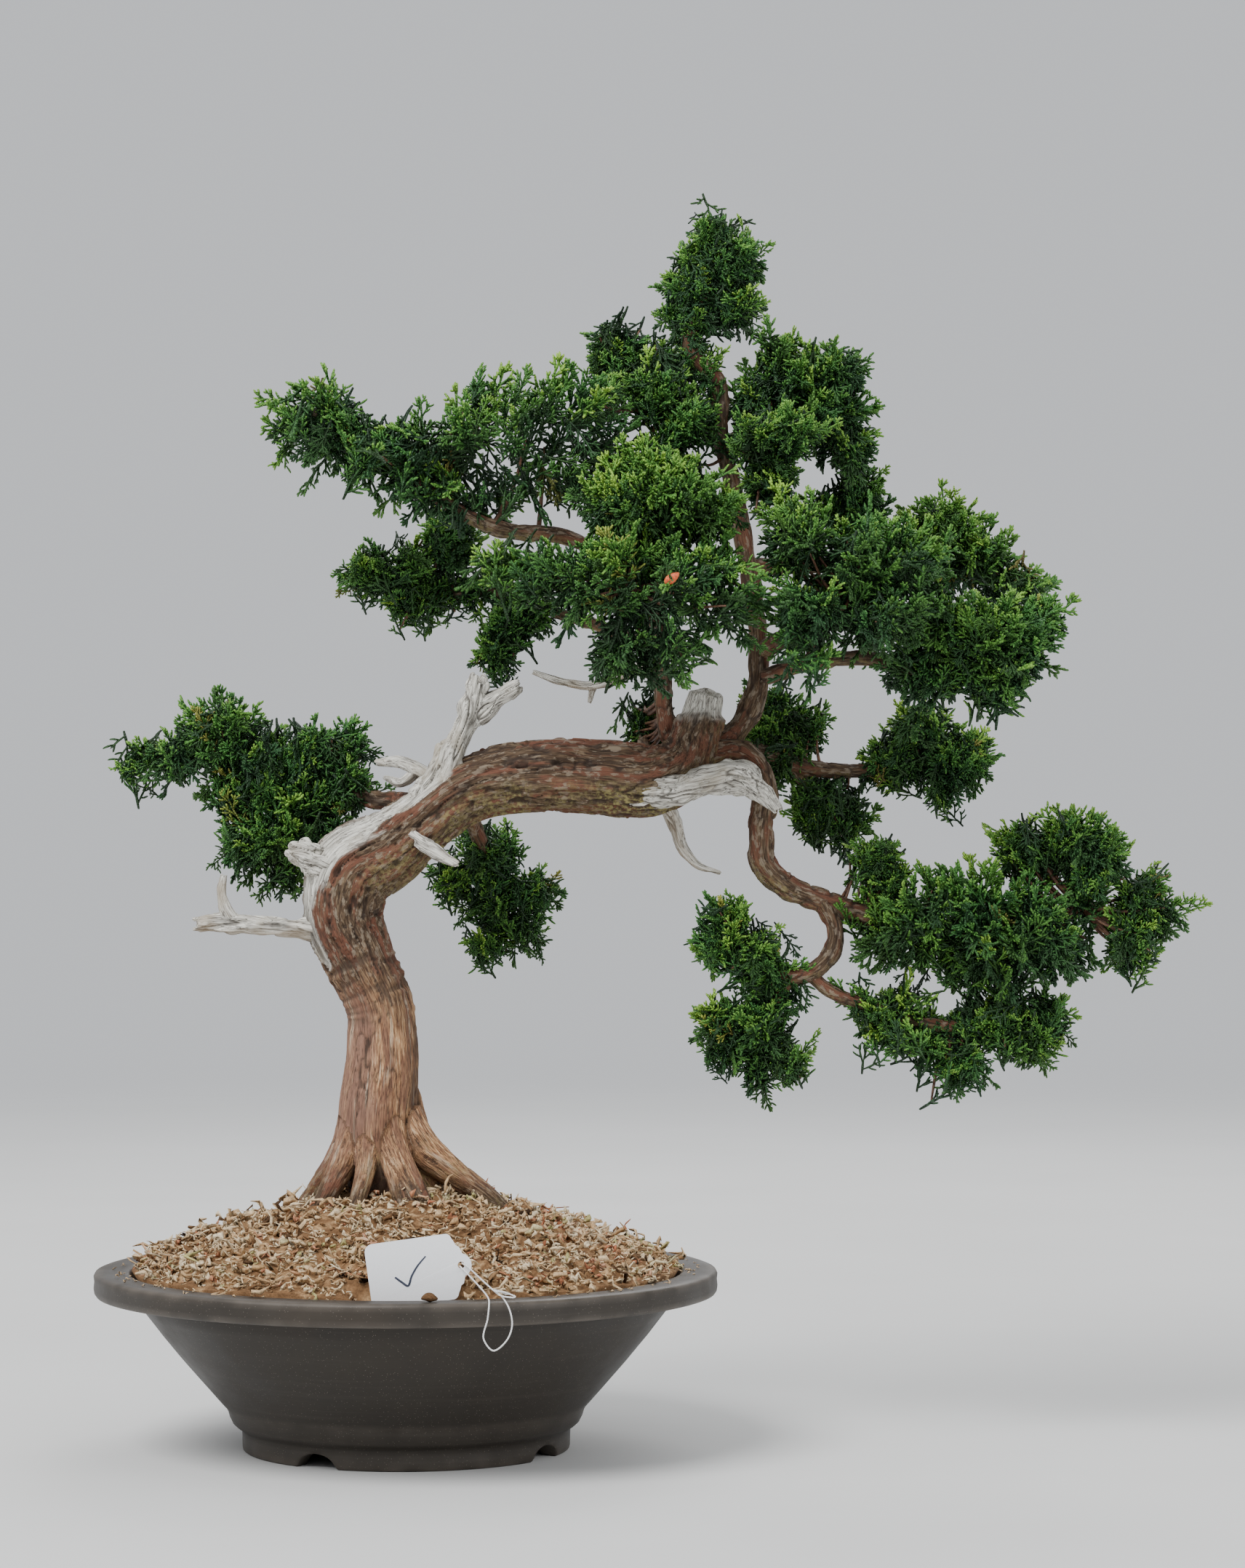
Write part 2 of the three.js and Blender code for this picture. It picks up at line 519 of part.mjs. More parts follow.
// ---------------------------------------------------------------- soil and moss

// The mound, as shares of the way out from the middle and of its rise above the rim.
const MOUND = [[0, 1], [0.2, 0.96], [0.42, 0.75], [0.64, 0.5], [0.86, 0.25], [1, 0]];

// [radius, height] pairs of the mound's surface, sunk by a depth measured straight down.
function mound(edgeRadius, sunk) {
  return MOUND.map(([out, rise]) => [out * edgeRadius, POT_HEIGHT + rise * MOSS_RISE - sunk]);
}

// The radius of the pot's inner wall at a height.
function innerWall(height) {
  if (height >= SHOULDER_HEIGHT) {
    const share = (height - SHOULDER_HEIGHT) / (POT_HEIGHT - SHOULDER_HEIGHT);
    return lerp(SHOULDER_RADIUS - WALL, OPENING_RADIUS, share);
  }
  const share = (height - FLOOR_TOP) / (SHOULDER_HEIGHT - FLOOR_TOP);
  return lerp(INNER_FLOOR_RADIUS, SHOULDER_RADIUS - WALL, share);
}

const SOIL_EDGE = POT_HEIGHT - MOSS_THICKNESS;
const WALL_GAP = 2 * GAP; // measured level, against the sloping wall

function soilBlank() {
  const top = mound(innerWall(SOIL_EDGE) - WALL_GAP, MOSS_THICKNESS).reverse();
  return solid(turned([
    [0, SCREEN_BASE],
    [innerWall(SCREEN_BASE) - WALL_GAP, SCREEN_BASE],
    [innerWall(SHOULDER_HEIGHT) - WALL_GAP, SHOULDER_HEIGHT],
    ...top,
  ]));
}

function mossBlank() {
  const under = mound(innerWall(SOIL_EDGE) - WALL_GAP, MOSS_THICKNESS - GAP);
  const over = mound(OPENING_RADIUS - MOSS_MARGIN, 0).reverse();
  return solid(turned([...under, ...over]));
}

// ---------------------------------------------------------------- tag and string

const TAG_PLANE = -(innerWall(POT_HEIGHT + TAG_RISE - TAG_HEIGHT / 2) - TAG_FROM_WALL);

function tag(grow = 0) {
  const half = TAG_HEIGHT / 2;
  const shoulder = TAG_LENGTH - TAG_NOSE * TAG_HEIGHT;
  const [wide, start, bulge] = NOSE_WIDTHS.map((share) => share * half);
  const outline = new THREE.Shape();
  outline.moveTo(-grow, -half + TAG_CORNER);
  outline.absarc(TAG_CORNER, -half + TAG_CORNER, TAG_CORNER + grow, Math.PI, 1.5 * Math.PI);
  outline.lineTo(shoulder - TAG_CORNER, -half - grow);
  outline.quadraticCurveTo(shoulder, -wide, shoulder + grow, -start);
  outline.quadraticCurveTo(TAG_LENGTH, -bulge, TAG_LENGTH + grow, 0);
  outline.quadraticCurveTo(TAG_LENGTH, bulge, shoulder + grow, start);
  outline.quadraticCurveTo(shoulder, wide, shoulder - TAG_CORNER, half + grow);
  outline.absarc(TAG_CORNER, half - TAG_CORNER, TAG_CORNER + grow, 0.5 * Math.PI, Math.PI);
  if (grow === 0) {
    const middle = TAG_LENGTH - TAG_HOLE_INSET;
    outline.holes.push(new THREE.Path().absarc(middle, 0, TAG_HOLE_RADIUS, 0, 2 * Math.PI));
  }
  const depth = TAG_THICKNESS + 2 * grow;
  const options = { depth, bevelEnabled: false, curveSegments: CARD_CURVE_FACETS };
  const card = new THREE.ExtrudeGeometry(outline, options).translate(0, 0, -TAG_THICKNESS / 2 - grow);
  card.rotateZ(round(TAG_TILT)).rotateX(Math.PI / 2);
  return solid(card.translate(TAG_LEFT, TAG_PLANE, POT_HEIGHT + TAG_RISE));
}

// One loop of cotton string: through the tag's hole, over the lip and back.
const STRING_ROUTE = [
  [32.2, -130.4, 107.2], [32.4, -133.2, 107.3], [34.4, -135.6, 105.6], [39.6, -138.4, 100.6],
    [44.6, -143, 95.6],
  [46.6, -149, 93.4], [47, -154.4, 91.4], [46.4, -155.6, 85], [44.6, -155.2, 74.4],
    [48.8, -155.4, 69.4], [55.6, -154.8, 74.4],
  [58, -153.8, 81], [56.8, -152.8, 88.6], [54, -149.8, 93.4], [48.4, -143, 97.2],
    [41.6, -137.6, 102.6], [36, -135, 107.4],
  [33.6, -132.8, 108.7], [33.2, -130.2, 108.9],
];

function tagString() {
  const places = STRING_ROUTE.map((point) => new THREE.Vector3(...point));
  const route = new THREE.CatmullRomCurve3(places, false, 'centripetal');
  const section = new THREE.Shape().absarc(0, 0, STRING_RADIUS, 0, 2 * Math.PI);
  const options = { extrudePath: route, steps: STRING_STEPS, curveSegments: STRING_FACETS };
  return new THREE.ExtrudeGeometry(section, options);
}

// ---------------------------------------------------------------- assembly

const bonsai = new THREE.Group();

function place(name, geometry, look) {
  const mesh = new THREE.Mesh(geometry, look);
  mesh.name = name;
  bonsai.add(mesh);
}

// Woody and leafy pieces are fitted in turn: each is carved back from all that are already there.
const fitted = [];

function boxesMeet(a, b) {
  const [p, q] = [a.boundingBox(), b.boundingBox()];
  return [0, 1, 2].every((axis) => p.min[axis] < q.max[axis] && q.min[axis] < p.max[axis]);
}

function fit(name, build, look) {
  let piece = build(0);
  for (const other of fitted) {
    if (boxesMeet(piece, other)) {
      piece = piece.subtract(other);
    }
  }
  fitted.push(build(GAP));
  place(name, geometryOf(piece), look);
}

function trunk(grow) {
  const options = { grow, step: TRUNK_STEP };
  const stem = limb(raised(TRUNK_LINE), { ...options, sides: TRUNK_SIDES });
  return stem.add(growth([...ROOTS, SHORT_TWIG].map(raised), options));
}

fit('trunk_and_roots', trunk, BARK);
for (const [name, limbs] of Object.entries(DEAD_BRANCHES)) {
  fit(name, (grow) => growth(limbs.map(raised), { grow }), DEADWOOD);
}
for (const [name, limbs] of Object.entries(LIVE_BRANCHES)) {
  fit(name, (grow) => growth(limbs.map(raised), { grow }), BARK);
}
for (const [name, lobes] of Object.entries(FOLIAGE_PADS)) {
  fit(name, (grow) => pad(raised(lobes), { grow }), FOLIAGE);
}

const grownTrunk = trunk(GAP);
const buried = [grownTrunk, screenBlank(GAP), screenClip(GAP), anchorWire(GAP)];
const soil = buried.reduce((rest, thing) => rest.subtract(thing), soilBlank());
const moss = mossBlank().subtract(grownTrunk).subtract(tag(GAP));

place('pot', geometryOf(pot()), CLAY);
place('drain_screen', geometryOf(drainScreen()), MESH_PLASTIC);
place('screen_clip', geometryOf(screenClip()), WIRE);
place('anchor_wire', geometryOf(anchorWire()), WIRE);
place('soil', geometryOf(soil), SOIL);
place('moss_dressing', geometryOf(moss), MOSS);
place('tag', geometryOf(tag()), CARD);
place('tag_string', tagString(), COTTON);

// The origin is the middle of the footprint, on the table.
const extent = new THREE.Box3().setFromObject(bonsai);
bonsai.position.set(-(extent.min.x + extent.max.x) / 2, -(extent.min.y + extent.max.y) / 2, -extent.min.z);
bonsai.updateMatrixWorld(true);

export default bonsai;
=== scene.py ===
"""A juniper bonsai in a round clay pot, dressed for rendering around its CAD model."""

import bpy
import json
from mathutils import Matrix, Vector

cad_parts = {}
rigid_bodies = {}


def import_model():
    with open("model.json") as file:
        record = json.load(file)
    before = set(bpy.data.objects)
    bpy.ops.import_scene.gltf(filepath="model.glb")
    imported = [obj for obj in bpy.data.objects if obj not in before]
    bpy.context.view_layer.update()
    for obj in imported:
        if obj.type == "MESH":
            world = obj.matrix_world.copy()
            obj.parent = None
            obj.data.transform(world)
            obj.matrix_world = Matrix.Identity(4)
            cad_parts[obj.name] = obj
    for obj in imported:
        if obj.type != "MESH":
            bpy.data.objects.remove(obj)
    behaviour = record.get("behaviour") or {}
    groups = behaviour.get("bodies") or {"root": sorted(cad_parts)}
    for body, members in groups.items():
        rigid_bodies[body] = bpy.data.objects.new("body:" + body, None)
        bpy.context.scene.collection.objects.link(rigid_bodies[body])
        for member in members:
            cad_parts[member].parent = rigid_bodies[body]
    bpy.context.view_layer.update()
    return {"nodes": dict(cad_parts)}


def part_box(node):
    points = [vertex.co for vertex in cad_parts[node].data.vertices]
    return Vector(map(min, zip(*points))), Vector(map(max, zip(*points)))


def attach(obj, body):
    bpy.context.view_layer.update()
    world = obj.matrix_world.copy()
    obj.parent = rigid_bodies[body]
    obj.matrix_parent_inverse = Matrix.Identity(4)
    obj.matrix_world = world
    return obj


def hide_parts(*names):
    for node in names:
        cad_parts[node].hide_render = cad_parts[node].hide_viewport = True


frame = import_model()

import json
import math

import bpy
import numpy as np

for name in ("Cube", "Light", "Camera"):
    if name in bpy.data.objects:
        bpy.data.objects.remove(bpy.data.objects[name])

COARSER = 1
MM = 0.001
POT_LOW, POT_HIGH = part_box("pot")
# Millimetres are measured from the middle of the pot, with heights from the level of its rim.
ORIGIN = np.array([(POT_LOW.x + POT_HIGH.x) / 2, (POT_LOW.y + POT_HIGH.y) / 2, POT_HIGH.z])
POT_HEIGHT = (POT_HIGH.z - POT_LOW.z) / MM


def placed(points):
    """Points in millimetres as places in the frame, in metres."""
    return np.asarray(points, float)[:, :3] * MM + ORIGIN


def measured(points):
    """Places in the frame, in metres, as points in millimetres."""
    return (np.asarray(points, float) - ORIGIN) / MM


def put(name, data):
    """A new object in the scene."""
    thing = bpy.data.objects.new(name, data)
    bpy.context.scene.collection.objects.link(thing)
    return thing


# ---------------------------------------------------------------- camera

CAMERA_RIGHT, CAMERA_FRONT, CAMERA_HEIGHT = 111, 2303, 341
CAMERA_LENS = 102.86


def make_camera():
    """A level camera before the pot, at a height from the table."""
    data = bpy.data.cameras.new("camera")
    data.sensor_fit = "VERTICAL"
    data.sensor_height = 36
    data.lens = CAMERA_LENS
    data.clip_end = 50
    camera = put("camera", data)
    camera.location = placed([[CAMERA_RIGHT, -CAMERA_FRONT, CAMERA_HEIGHT - POT_HEIGHT]])[0]
    camera.rotation_euler = (math.pi / 2, 0, 0)
    bpy.context.scene.camera = camera


make_camera()

# ---------------------------------------------------------------- numbers and meshes


def unit(vectors):
    """Vectors at a length of 1."""
    return vectors / np.maximum(np.linalg.norm(vectors, axis=-1, keepdims=True), 1e-9)


def lattice(cell, seed):
    """A fixed random number from -1 to 1 at each whole-numbered point."""
    h = (cell[:, 0] * 73856093) ^ (cell[:, 1] * 19349663) ^ (cell[:, 2] * 83492791) ^ (seed * 2654435761)
    h = (h ^ (h >> 13)) & 0x7FFFFFFF
    h = (h * 1103515245 + 12345) & 0x7FFFFFFF
    h = ((h ^ (h >> 15)) * 2246822519) & 0x7FFFFFFF
    return (h ^ (h >> 12)) / 0x3FFFFFFF - 1


def noise(points, size=1.0, seed=0, octaves=1):
    """Smooth noise about -1 to 1 with bumps of a size, at points."""
    total, weight = np.zeros(len(points)), 1.0
    for octave in range(octaves):
        p = points / size * 2**octave + 501.3
        cell = np.floor(p).astype(np.int64)
        f = p - cell
        f = f * f * (3 - 2 * f)
        for corner in range(8):
            step = np.array([corner & 1, corner >> 1 & 1, corner >> 2])
            share = np.prod(np.where(step == 1, f, 1 - f), axis=1)
            total += weight * share * lattice(cell + step, seed + 31 * octave)
        weight /= 2
    return total


def smoothstep(low, high, value):
    """0 at low and 1 at high, eased at both; low may be the greater."""
    t = np.clip((value - low) / (high - low), 0, 1)
    return t * t * (3 - 2 * t)


def smooth_line(rows, step):
    """A smooth curve through rows of [x, y, height, ...] and the distance along it, in even steps."""
    rows = np.array(rows, float)
    gaps = np.linalg.norm(np.diff(rows[:, :3], axis=0), axis=1)
    knots = np.concatenate([[0], np.cumsum(gaps)])
    slopes = np.diff(rows, axis=0) / gaps[:, None]
    weights = gaps[1:, None] / (gaps[:-1] + gaps[1:])[:, None]
    inner = slopes[:-1] * weights + slopes[1:] * (1 - weights)
    tangents = np.vstack([slopes[:1], inner, slopes[-1:]])
    along = np.linspace(0, knots[-1], max(3, math.ceil(knots[-1] / step) + 1))
    i = np.clip(np.searchsorted(knots, along, side="right") - 1, 0, len(gaps) - 1)
    g = gaps[i][:, None]
    t = (along - knots[i])[:, None] / g
    line = (2 * t**3 - 3 * t**2 + 1) * rows[i] + (t**3 - 2 * t**2 + t) * g * tangents[i]
    line += (3 * t**2 - 2 * t**3) * rows[i + 1] + (t**3 - t**2) * g * tangents[i + 1]
    return line, along


def frames(places):
    """Tangents of a line, and two directions across it that don't twist."""
    tangent = unit(np.gradient(places, axis=0))
    side = np.zeros_like(tangent)
    last = np.cross(tangent[0], (0.0, 1.0, 0.0))
    if np.linalg.norm(last) < 0.1:
        last = np.array([1.0, 0.0, 0.0])
    for i, t in enumerate(tangent):
        last = last - t * np.dot(last, t)
        last = last / np.linalg.norm(last)
        side[i] = last
    return tangent, side, np.cross(tangent, side)


def ring_quads(rows, sides):
    """Quads from each of some rings of points to the ring after it."""
    a = np.arange(rows)[:, None] * sides + np.arange(sides)
    b = np.arange(rows)[:, None] * sides + (np.arange(sides) + 1) % sides
    return np.stack([a, b, b + sides, a + sides], axis=-1).reshape(-1, 4)


def ring_caps(rows, sides):
    """Triangles that close the first and last rings at the two points that follow the rings."""
    first, last = np.arange(sides), (rows - 1) * sides + np.arange(sides)
    low = np.stack([np.roll(first, -1), first, np.full(sides, rows * sides)], axis=1)
    high = np.stack([last, np.roll(last, -1), np.full(sides, rows * sides + 1)], axis=1)
    return np.vstack([low, high])


def sleeve(rings, start=0):
    """Triangles round a three-sided strand, ring after ring."""
    faces = []
    for ring in range(rings - 1):
        for k in range(3):
            a, b = start + ring * 3 + k, start + ring * 3 + (k + 1) % 3
            faces += [[a, b, b + 3], [a, b + 3, a + 3]]
    return faces


def copies(faces, count, each, offset=0):
    """The triangles of many copies of a shape that has each points."""
    return (np.asarray(faces)[None] + (np.arange(count) * each + offset)[:, None, None]).reshape(-1, 3)


def tube(line, sides, section=None):
    """A closed tube of round section about a line of [x, y, height, radius]: points, quads, triangles.

    section gives the share of the radius at each angle of each row.
    """
    tangent, side, up = frames(line[:, :3])
    count = len(line)
    angle = np.arange(sides) * 2 * math.pi / sides
    radius = line[:, 3:4] * (np.ones((count, sides)) if section is None else section(angle))
    ring = line[:, None, :3] + radius[..., None] * (
        np.cos(angle)[None, :, None] * side[:, None] + np.sin(angle)[None, :, None] * up[:, None]
    )
    ends = [line[0, :3] - tangent[0] * line[0, 3] * 0.4, line[-1, :3] + tangent[-1] * line[-1, 3] * 0.4]
    points = np.vstack([ring.reshape(-1, 3), ends])
    return points, ring_quads(count - 1, sides), ring_caps(count, sides)


def merged(parts):
    """Several (points, quads, triangles) as one."""
    points, quads, triangles, offset = [], [], [], 0
    for p, q, t in parts:
        points.append(p)
        quads.append(q + offset)
        triangles.append(t + offset)
        offset += len(p)
    return np.vstack(points), np.vstack(quads), np.vstack(triangles)


NO_FACES = {3: np.zeros((0, 3), int), 4: np.zeros((0, 4), int)}


def build_mesh(name, points, quads=NO_FACES[4], triangles=NO_FACES[3], layers=None, flat=None):
    """A smooth-shaded mesh from points in metres, with named values at its points.

    flat gives each point's place on the bake map, OFBake.
    """
    mesh = bpy.data.meshes.new(name)
    mesh.vertices.add(len(points))
    mesh.vertices.foreach_set("co", np.asarray(points, np.float32).ravel())
    corners = np.concatenate([quads.ravel(), triangles.ravel()]).astype(np.int32)
    sides = np.concatenate([np.full(len(quads), 4), np.full(len(triangles), 3)])
    mesh.loops.add(len(corners))
    mesh.loops.foreach_set("vertex_index", corners)
    mesh.polygons.add(len(sides))
    mesh.polygons.foreach_set("loop_start", (np.cumsum(sides) - sides).astype(np.int32))
    mesh.update(calc_edges=True)
    mesh.shade_smooth()
    for key, values in (layers or {}).items():
        values = np.asarray(values, np.float32)
        kind, field = ("FLOAT", "value") if values.ndim == 1 else ("FLOAT_VECTOR", "vector")
        mesh.attributes.new(key, kind, "POINT").data.foreach_set(field, values.ravel())
    if flat is not None:
        mesh.uv_layers.new(name="OFBake").data.foreach_set("uv", flat[corners].astype(np.float32).ravel())
    return mesh


def piece(name, mesh, look, replaces=()):
    """A visible piece of one material, in place of the CAD nodes that it replaces."""
    thing = put(name, mesh)
    mesh.materials.clear()
    mesh.materials.append(look)
    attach(thing, "root")
    if replaces:
        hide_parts(*replaces)
    return thing


def fused(parts, voxel, smoothing=3):
    """Overlapping closed tubes as one even skin of quads: points in millimetres, quads, normals."""
    points, quads, triangles = merged(parts)
    mesh = build_mesh("raw", points * MM, quads, triangles)
    thing = put("raw", mesh)
    remesh = thing.modifiers.new("skin", "REMESH")
    remesh.mode = "VOXEL"
    remesh.voxel_size = voxel * MM * COARSER
    smooth = thing.modifiers.new("smooth", "SMOOTH")
    smooth.iterations = smoothing
    done = thing.evaluated_get(bpy.context.evaluated_depsgraph_get()).to_mesh()
    skin = np.empty(len(done.vertices) * 3, np.float32)
    done.vertices.foreach_get("co", skin)
    corners = np.empty(len(done.loops), np.int32)
    done.loops.foreach_get("vertex_index", corners)
    bpy.data.objects.remove(thing)
    bpy.data.meshes.remove(mesh)
    skin = skin.reshape(-1, 3).astype(float) / MM
    quads = corners.reshape(-1, 4)
    return skin, quads, normals_of(skin, quads)


def normals_of(points, quads):
    """Each point's outward direction, from the quads about it."""
    faces = np.cross(points[quads[:, 2]] - points[quads[:, 0]], points[quads[:, 3]] - points[quads[:, 1]])
    total = np.zeros_like(points)
    for corner in range(4):
        for axis in range(3):
            total[:, axis] += np.bincount(quads[:, corner], faces[:, axis], len(points))
    return unit(total)


# ---------------------------------------------------------------- node materials


class Look:
    """A Principled material with short ways to add nodes."""

    def __init__(self, name, roughness=0.8, **settings):
        self.material = bpy.data.materials.new(name)
        self.material.use_nodes = True
        self.tree = self.material.node_tree
        self.shader = self.tree.nodes["Principled BSDF"]
        self.shader.inputs["Roughness"].default_value = roughness
        for socket, value in settings.items():
            self.shader.inputs[socket.replace("_", " ")].default_value = value

    def feed(self, socket, value):
        if isinstance(value, bpy.types.NodeSocket):
            self.tree.links.new(value, socket)
        elif value is not None:
            socket.default_value = value

    def add(self, kind, output=0, inputs=(), **settings):
        node = self.tree.nodes.new("ShaderNode" + kind)
        for key, value in settings.items():
            setattr(node, key, value)
        for socket, value in dict(inputs).items():
            self.feed(node.inputs[socket], value)
        return node.outputs[output]

    def value(self, name, output="Fac"):
        return self.add("Attribute", output, attribute_name=name)

    def place(self):
        return self.add("TexCoord", "Object")

    def scaled(self, vector, x, y, z):
        return self.add("Mapping", 0, {"Vector": vector, "Scale": (x, y, z)})

    def noise(self, vector, scale, detail=4.0, rough=0.55):
        inputs = {"Vector": vector, "Scale": scale, "Detail": detail, "Roughness": rough}
        return self.add("TexNoise", 0, inputs)

    def streaks(self, grain, squash, scale, detail=4.0, rough=0.55):
        """Noise drawn out along the grain."""
        return self.noise(self.scaled(grain, 1, 1, squash), scale, detail, rough)

    def cells(self, vector, scale):
        return self.add("TexVoronoi", "Distance", {"Vector": vector, "Scale": scale}, feature="F1")

    def span(self, value, low, high, to_low=0.0, to_high=1.0):
        inputs = {"Value": value, "From Min": low, "From Max": high, "To Min": to_low, "To Max": to_high}
        return self.add("MapRange", 0, inputs, interpolation_type="SMOOTHSTEP")

    def math(self, operation, a, b=None):
        return self.add("Math", 0, {0: a, 1: b}, operation=operation)

    def mix(self, share, a, b, blend="MIX"):
        a, b = [(*c, 1) if isinstance(c, tuple) and len(c) == 3 else c for c in (a, b)]
        node = self.tree.nodes.new("ShaderNodeMix")
        node.data_type, node.blend_type = "RGBA", blend
        for index, value in ((0, share), (6, a), (7, b)):
            self.feed(node.inputs[index], value)
        return node.outputs[2]

    def ramp(self, value, *stops):
        node = self.tree.nodes.new("ShaderNodeValToRGB")
        self.feed(node.inputs[0], value)
        elements = node.color_ramp.elements
        for index, (position, colour) in enumerate(stops):
            element = elements[index] if index < 2 else elements.new(position)
            element.position, element.color = position, (*colour, 1)
        return node.outputs[0]

    def bump(self, height, strength=0.5, distance=0.3, after=None):
        inputs = {"Height": height, "Strength": strength, "Distance": distance * MM, "Normal": after}
        return self.add("Bump", 0, inputs)

    def done(self, colour=None, roughness=None, normal=None):
        self.feed(self.shader.inputs["Base Color"], colour)
        self.feed(self.shader.inputs["Roughness"], roughness)
        self.feed(self.shader.inputs["Normal"], normal)
        return self.material


def mottled_look(name, roughness, scale, detail, *stops, bump=None, gloss=None, lumpy=0.55, **settings):
    """A plain material: one fine mottle in its colour, its surface and, where gloss is given, its shine."""
    look = Look(name, roughness, **settings)
    mottle = look.noise(look.place(), scale, detail, lumpy)
    shine = gloss and look.span(mottle, 0.3, 0.7, *gloss)
    return look.done(look.ramp(mottle, *stops), shine, bump and look.bump(mottle, *bump))


def clay_look():
    """Unglazed dark clay: fine pale grit, faint turning lines and paler edges, from wear and a painted
    highlight on the lip.
    """
    look = Look("clay", Specular_IOR_Level=0.35)
    place = look.place()
    cloud = look.noise(place, 26, 5)
    colour = look.ramp(cloud, (0.3, (0.0195, 0.0155, 0.0115)), (0.7, (0.033, 0.027, 0.0205)))
    turning = look.noise(look.scaled(place, 8, 8, 420), 1, 3)
    colour = look.mix(look.span(turning, 0.5, 0.75, 0, 0.35), colour, (0.046, 0.038, 0.030))
    warm = look.noise(place, 9, 3)
    colour = look.mix(look.span(warm, 0.55, 0.75, 0, 0.35), colour, (0.040, 0.026, 0.015))
    grit = look.cells(place, 640)
    colour = look.mix(look.span(grit, 0.16, 0.1, 0, 0.55), colour, (0.20, 0.17, 0.14))
    # The paler edges are partly rubbed wear and partly a painted highlight.
    colour = look.mix(look.math("MULTIPLY", look.value("edge"), 0.75), colour, (0.125, 0.105, 0.086))
    pits = look.noise(place, 1500, 3)
    height = look.math("ADD", look.math("MULTIPLY", turning, 0.6), look.math("MULTIPLY", pits, 0.5))
    roughness = look.span(cloud, 0.3, 0.7, 0.42, 0.58)
    return look.done(colour, roughness, look.bump(height, 0.35, 0.25))


def moss_look():
    """Dry chopped moss: straw with darker and rusty strands."""
    look = Look("moss", 0.9, Specular_IOR_Level=0.2)
    colour = look.ramp(
        look.value("tint"), (0, (0.045, 0.024, 0.012)), (0.12, (0.24, 0.130, 0.060)),
        (0.35, (0.63, 0.415, 0.220)), (0.7, (0.85, 0.655, 0.41)), (0.94, (0.92, 0.78, 0.55)),
        (1, (0.55, 0.50, 0.22)))
    colour = look.mix(look.value("rust"), colour, (0.52, 0.17, 0.085))
    fine = look.noise(look.place(), 900, 4, 0.6)
    colour = look.mix(look.span(fine, 0.3, 0.7, 0.5, 0), colour, (0.16, 0.10, 0.055), "MULTIPLY")
    return look.done(colour, None, look.bump(fine, 0.6, 0.4))


def bark_look():
    """Stringy juniper bark: reddish flakes above, orange-tan flowing wood below, bare silver strips."""
    look = Look("bark", 0.78, Specular_IOR_Level=0.3)
    grain = look.value("grain", "Vector")
    fibre = look.streaks(grain, 0.09, 1.15, 6, 0.62)
    broad = look.streaks(grain, 0.16, 0.16, 3)
    flake = look.streaks(grain, 0.42, 0.42, 5, 0.6)
    bark = look.ramp(
        fibre, (0.28, (0.012, 0.007, 0.004)), (0.43, (0.056, 0.032, 0.018)), (0.56, (0.125, 0.080, 0.046)),
        (0.72, (0.26, 0.195, 0.125)))
    bark = look.mix(look.span(broad, 0.47, 0.58, 0, 0.8), bark, (0.165, 0.062, 0.036))
    bark = look.mix(look.span(flake, 0.54, 0.60, 0, 0.75), bark, (0.25, 0.20, 0.145))
    lower = look.ramp(
        fibre, (0.28, (0.050, 0.022, 0.012)), (0.42, (0.235, 0.110, 0.055)), (0.57, (0.58, 0.335, 0.165)),
        (0.74, (0.74, 0.59, 0.40)))
    lower = look.mix(look.span(broad, 0.44, 0.60, 0, 0.75), lower, (0.185, 0.090, 0.058))
    streak = look.streaks(grain, 0.03, 0.34, 3)
    lower = look.mix(look.math("MULTIPLY", look.value("ruddy"), 0.72), lower, (0.27, 0.150, 0.108))
    lower = look.mix(look.span(streak, 0.60, 0.70, 0, 0.6), lower, (0.66, 0.56, 0.42))
    hair = look.streaks(grain, 0.022, 3.2, 3)
    colour = look.mix(look.value("lower"), bark, lower)
    colour = look.mix(look.span(hair, 0.38, 0.48, 0.7, 0), colour, (0.028, 0.016, 0.010))
    crumb = look.noise(look.place(), 420, 5, 0.65)
    green = look.ramp(crumb, (0.4, (0.05, 0.040, 0.013)), (0.62, (0.29, 0.245, 0.10)))
    green_share = look.math("MULTIPLY", look.value("mossy"), look.span(crumb, 0.42, 0.55))
    colour = look.mix(green_share, colour, green)
    colour = look.mix(look.value("bare"), colour, deadwood_colour(look, grain))
    # Painted shade darkens the cracks and hollows that deep marks, along with the greyed lower bare strip.
    colour = look.mix(look.span(look.value("deep"), 0.1, 1, 0, 0.85), colour, (0.040, 0.026, 0.019))
    height = look.math("ADD", fibre, look.math("MULTIPLY", flake, 0.7))
    return look.done(colour, None, look.bump(height, 0.8, 0.7))


def deadwood_colour(look, grain):
    """Silver-grey weathered wood with dark checks and a few tan stains."""
    fibre = look.streaks(grain, 0.07, 1.0, 6, 0.6)
    colour = look.ramp(
        fibre, (0.30, (0.095, 0.085, 0.072)), (0.42, (0.38, 0.36, 0.32)), (0.55, (0.66, 0.64, 0.57)),
        (0.72, (0.82, 0.81, 0.75)))
    crack = look.streaks(grain, 0.05, 0.7, 2)
    line = look.math("ABSOLUTE", look.math("SUBTRACT", crack, 0.5))
    colour = look.mix(look.span(line, 0.0, 0.03, 0.9, 0), colour, (0.060, 0.052, 0.044))
    stain = look.noise(look.place(), 60, 4)
    return look.mix(look.span(stain, 0.50, 0.68, 0, 0.65), colour, (0.36, 0.315, 0.24))


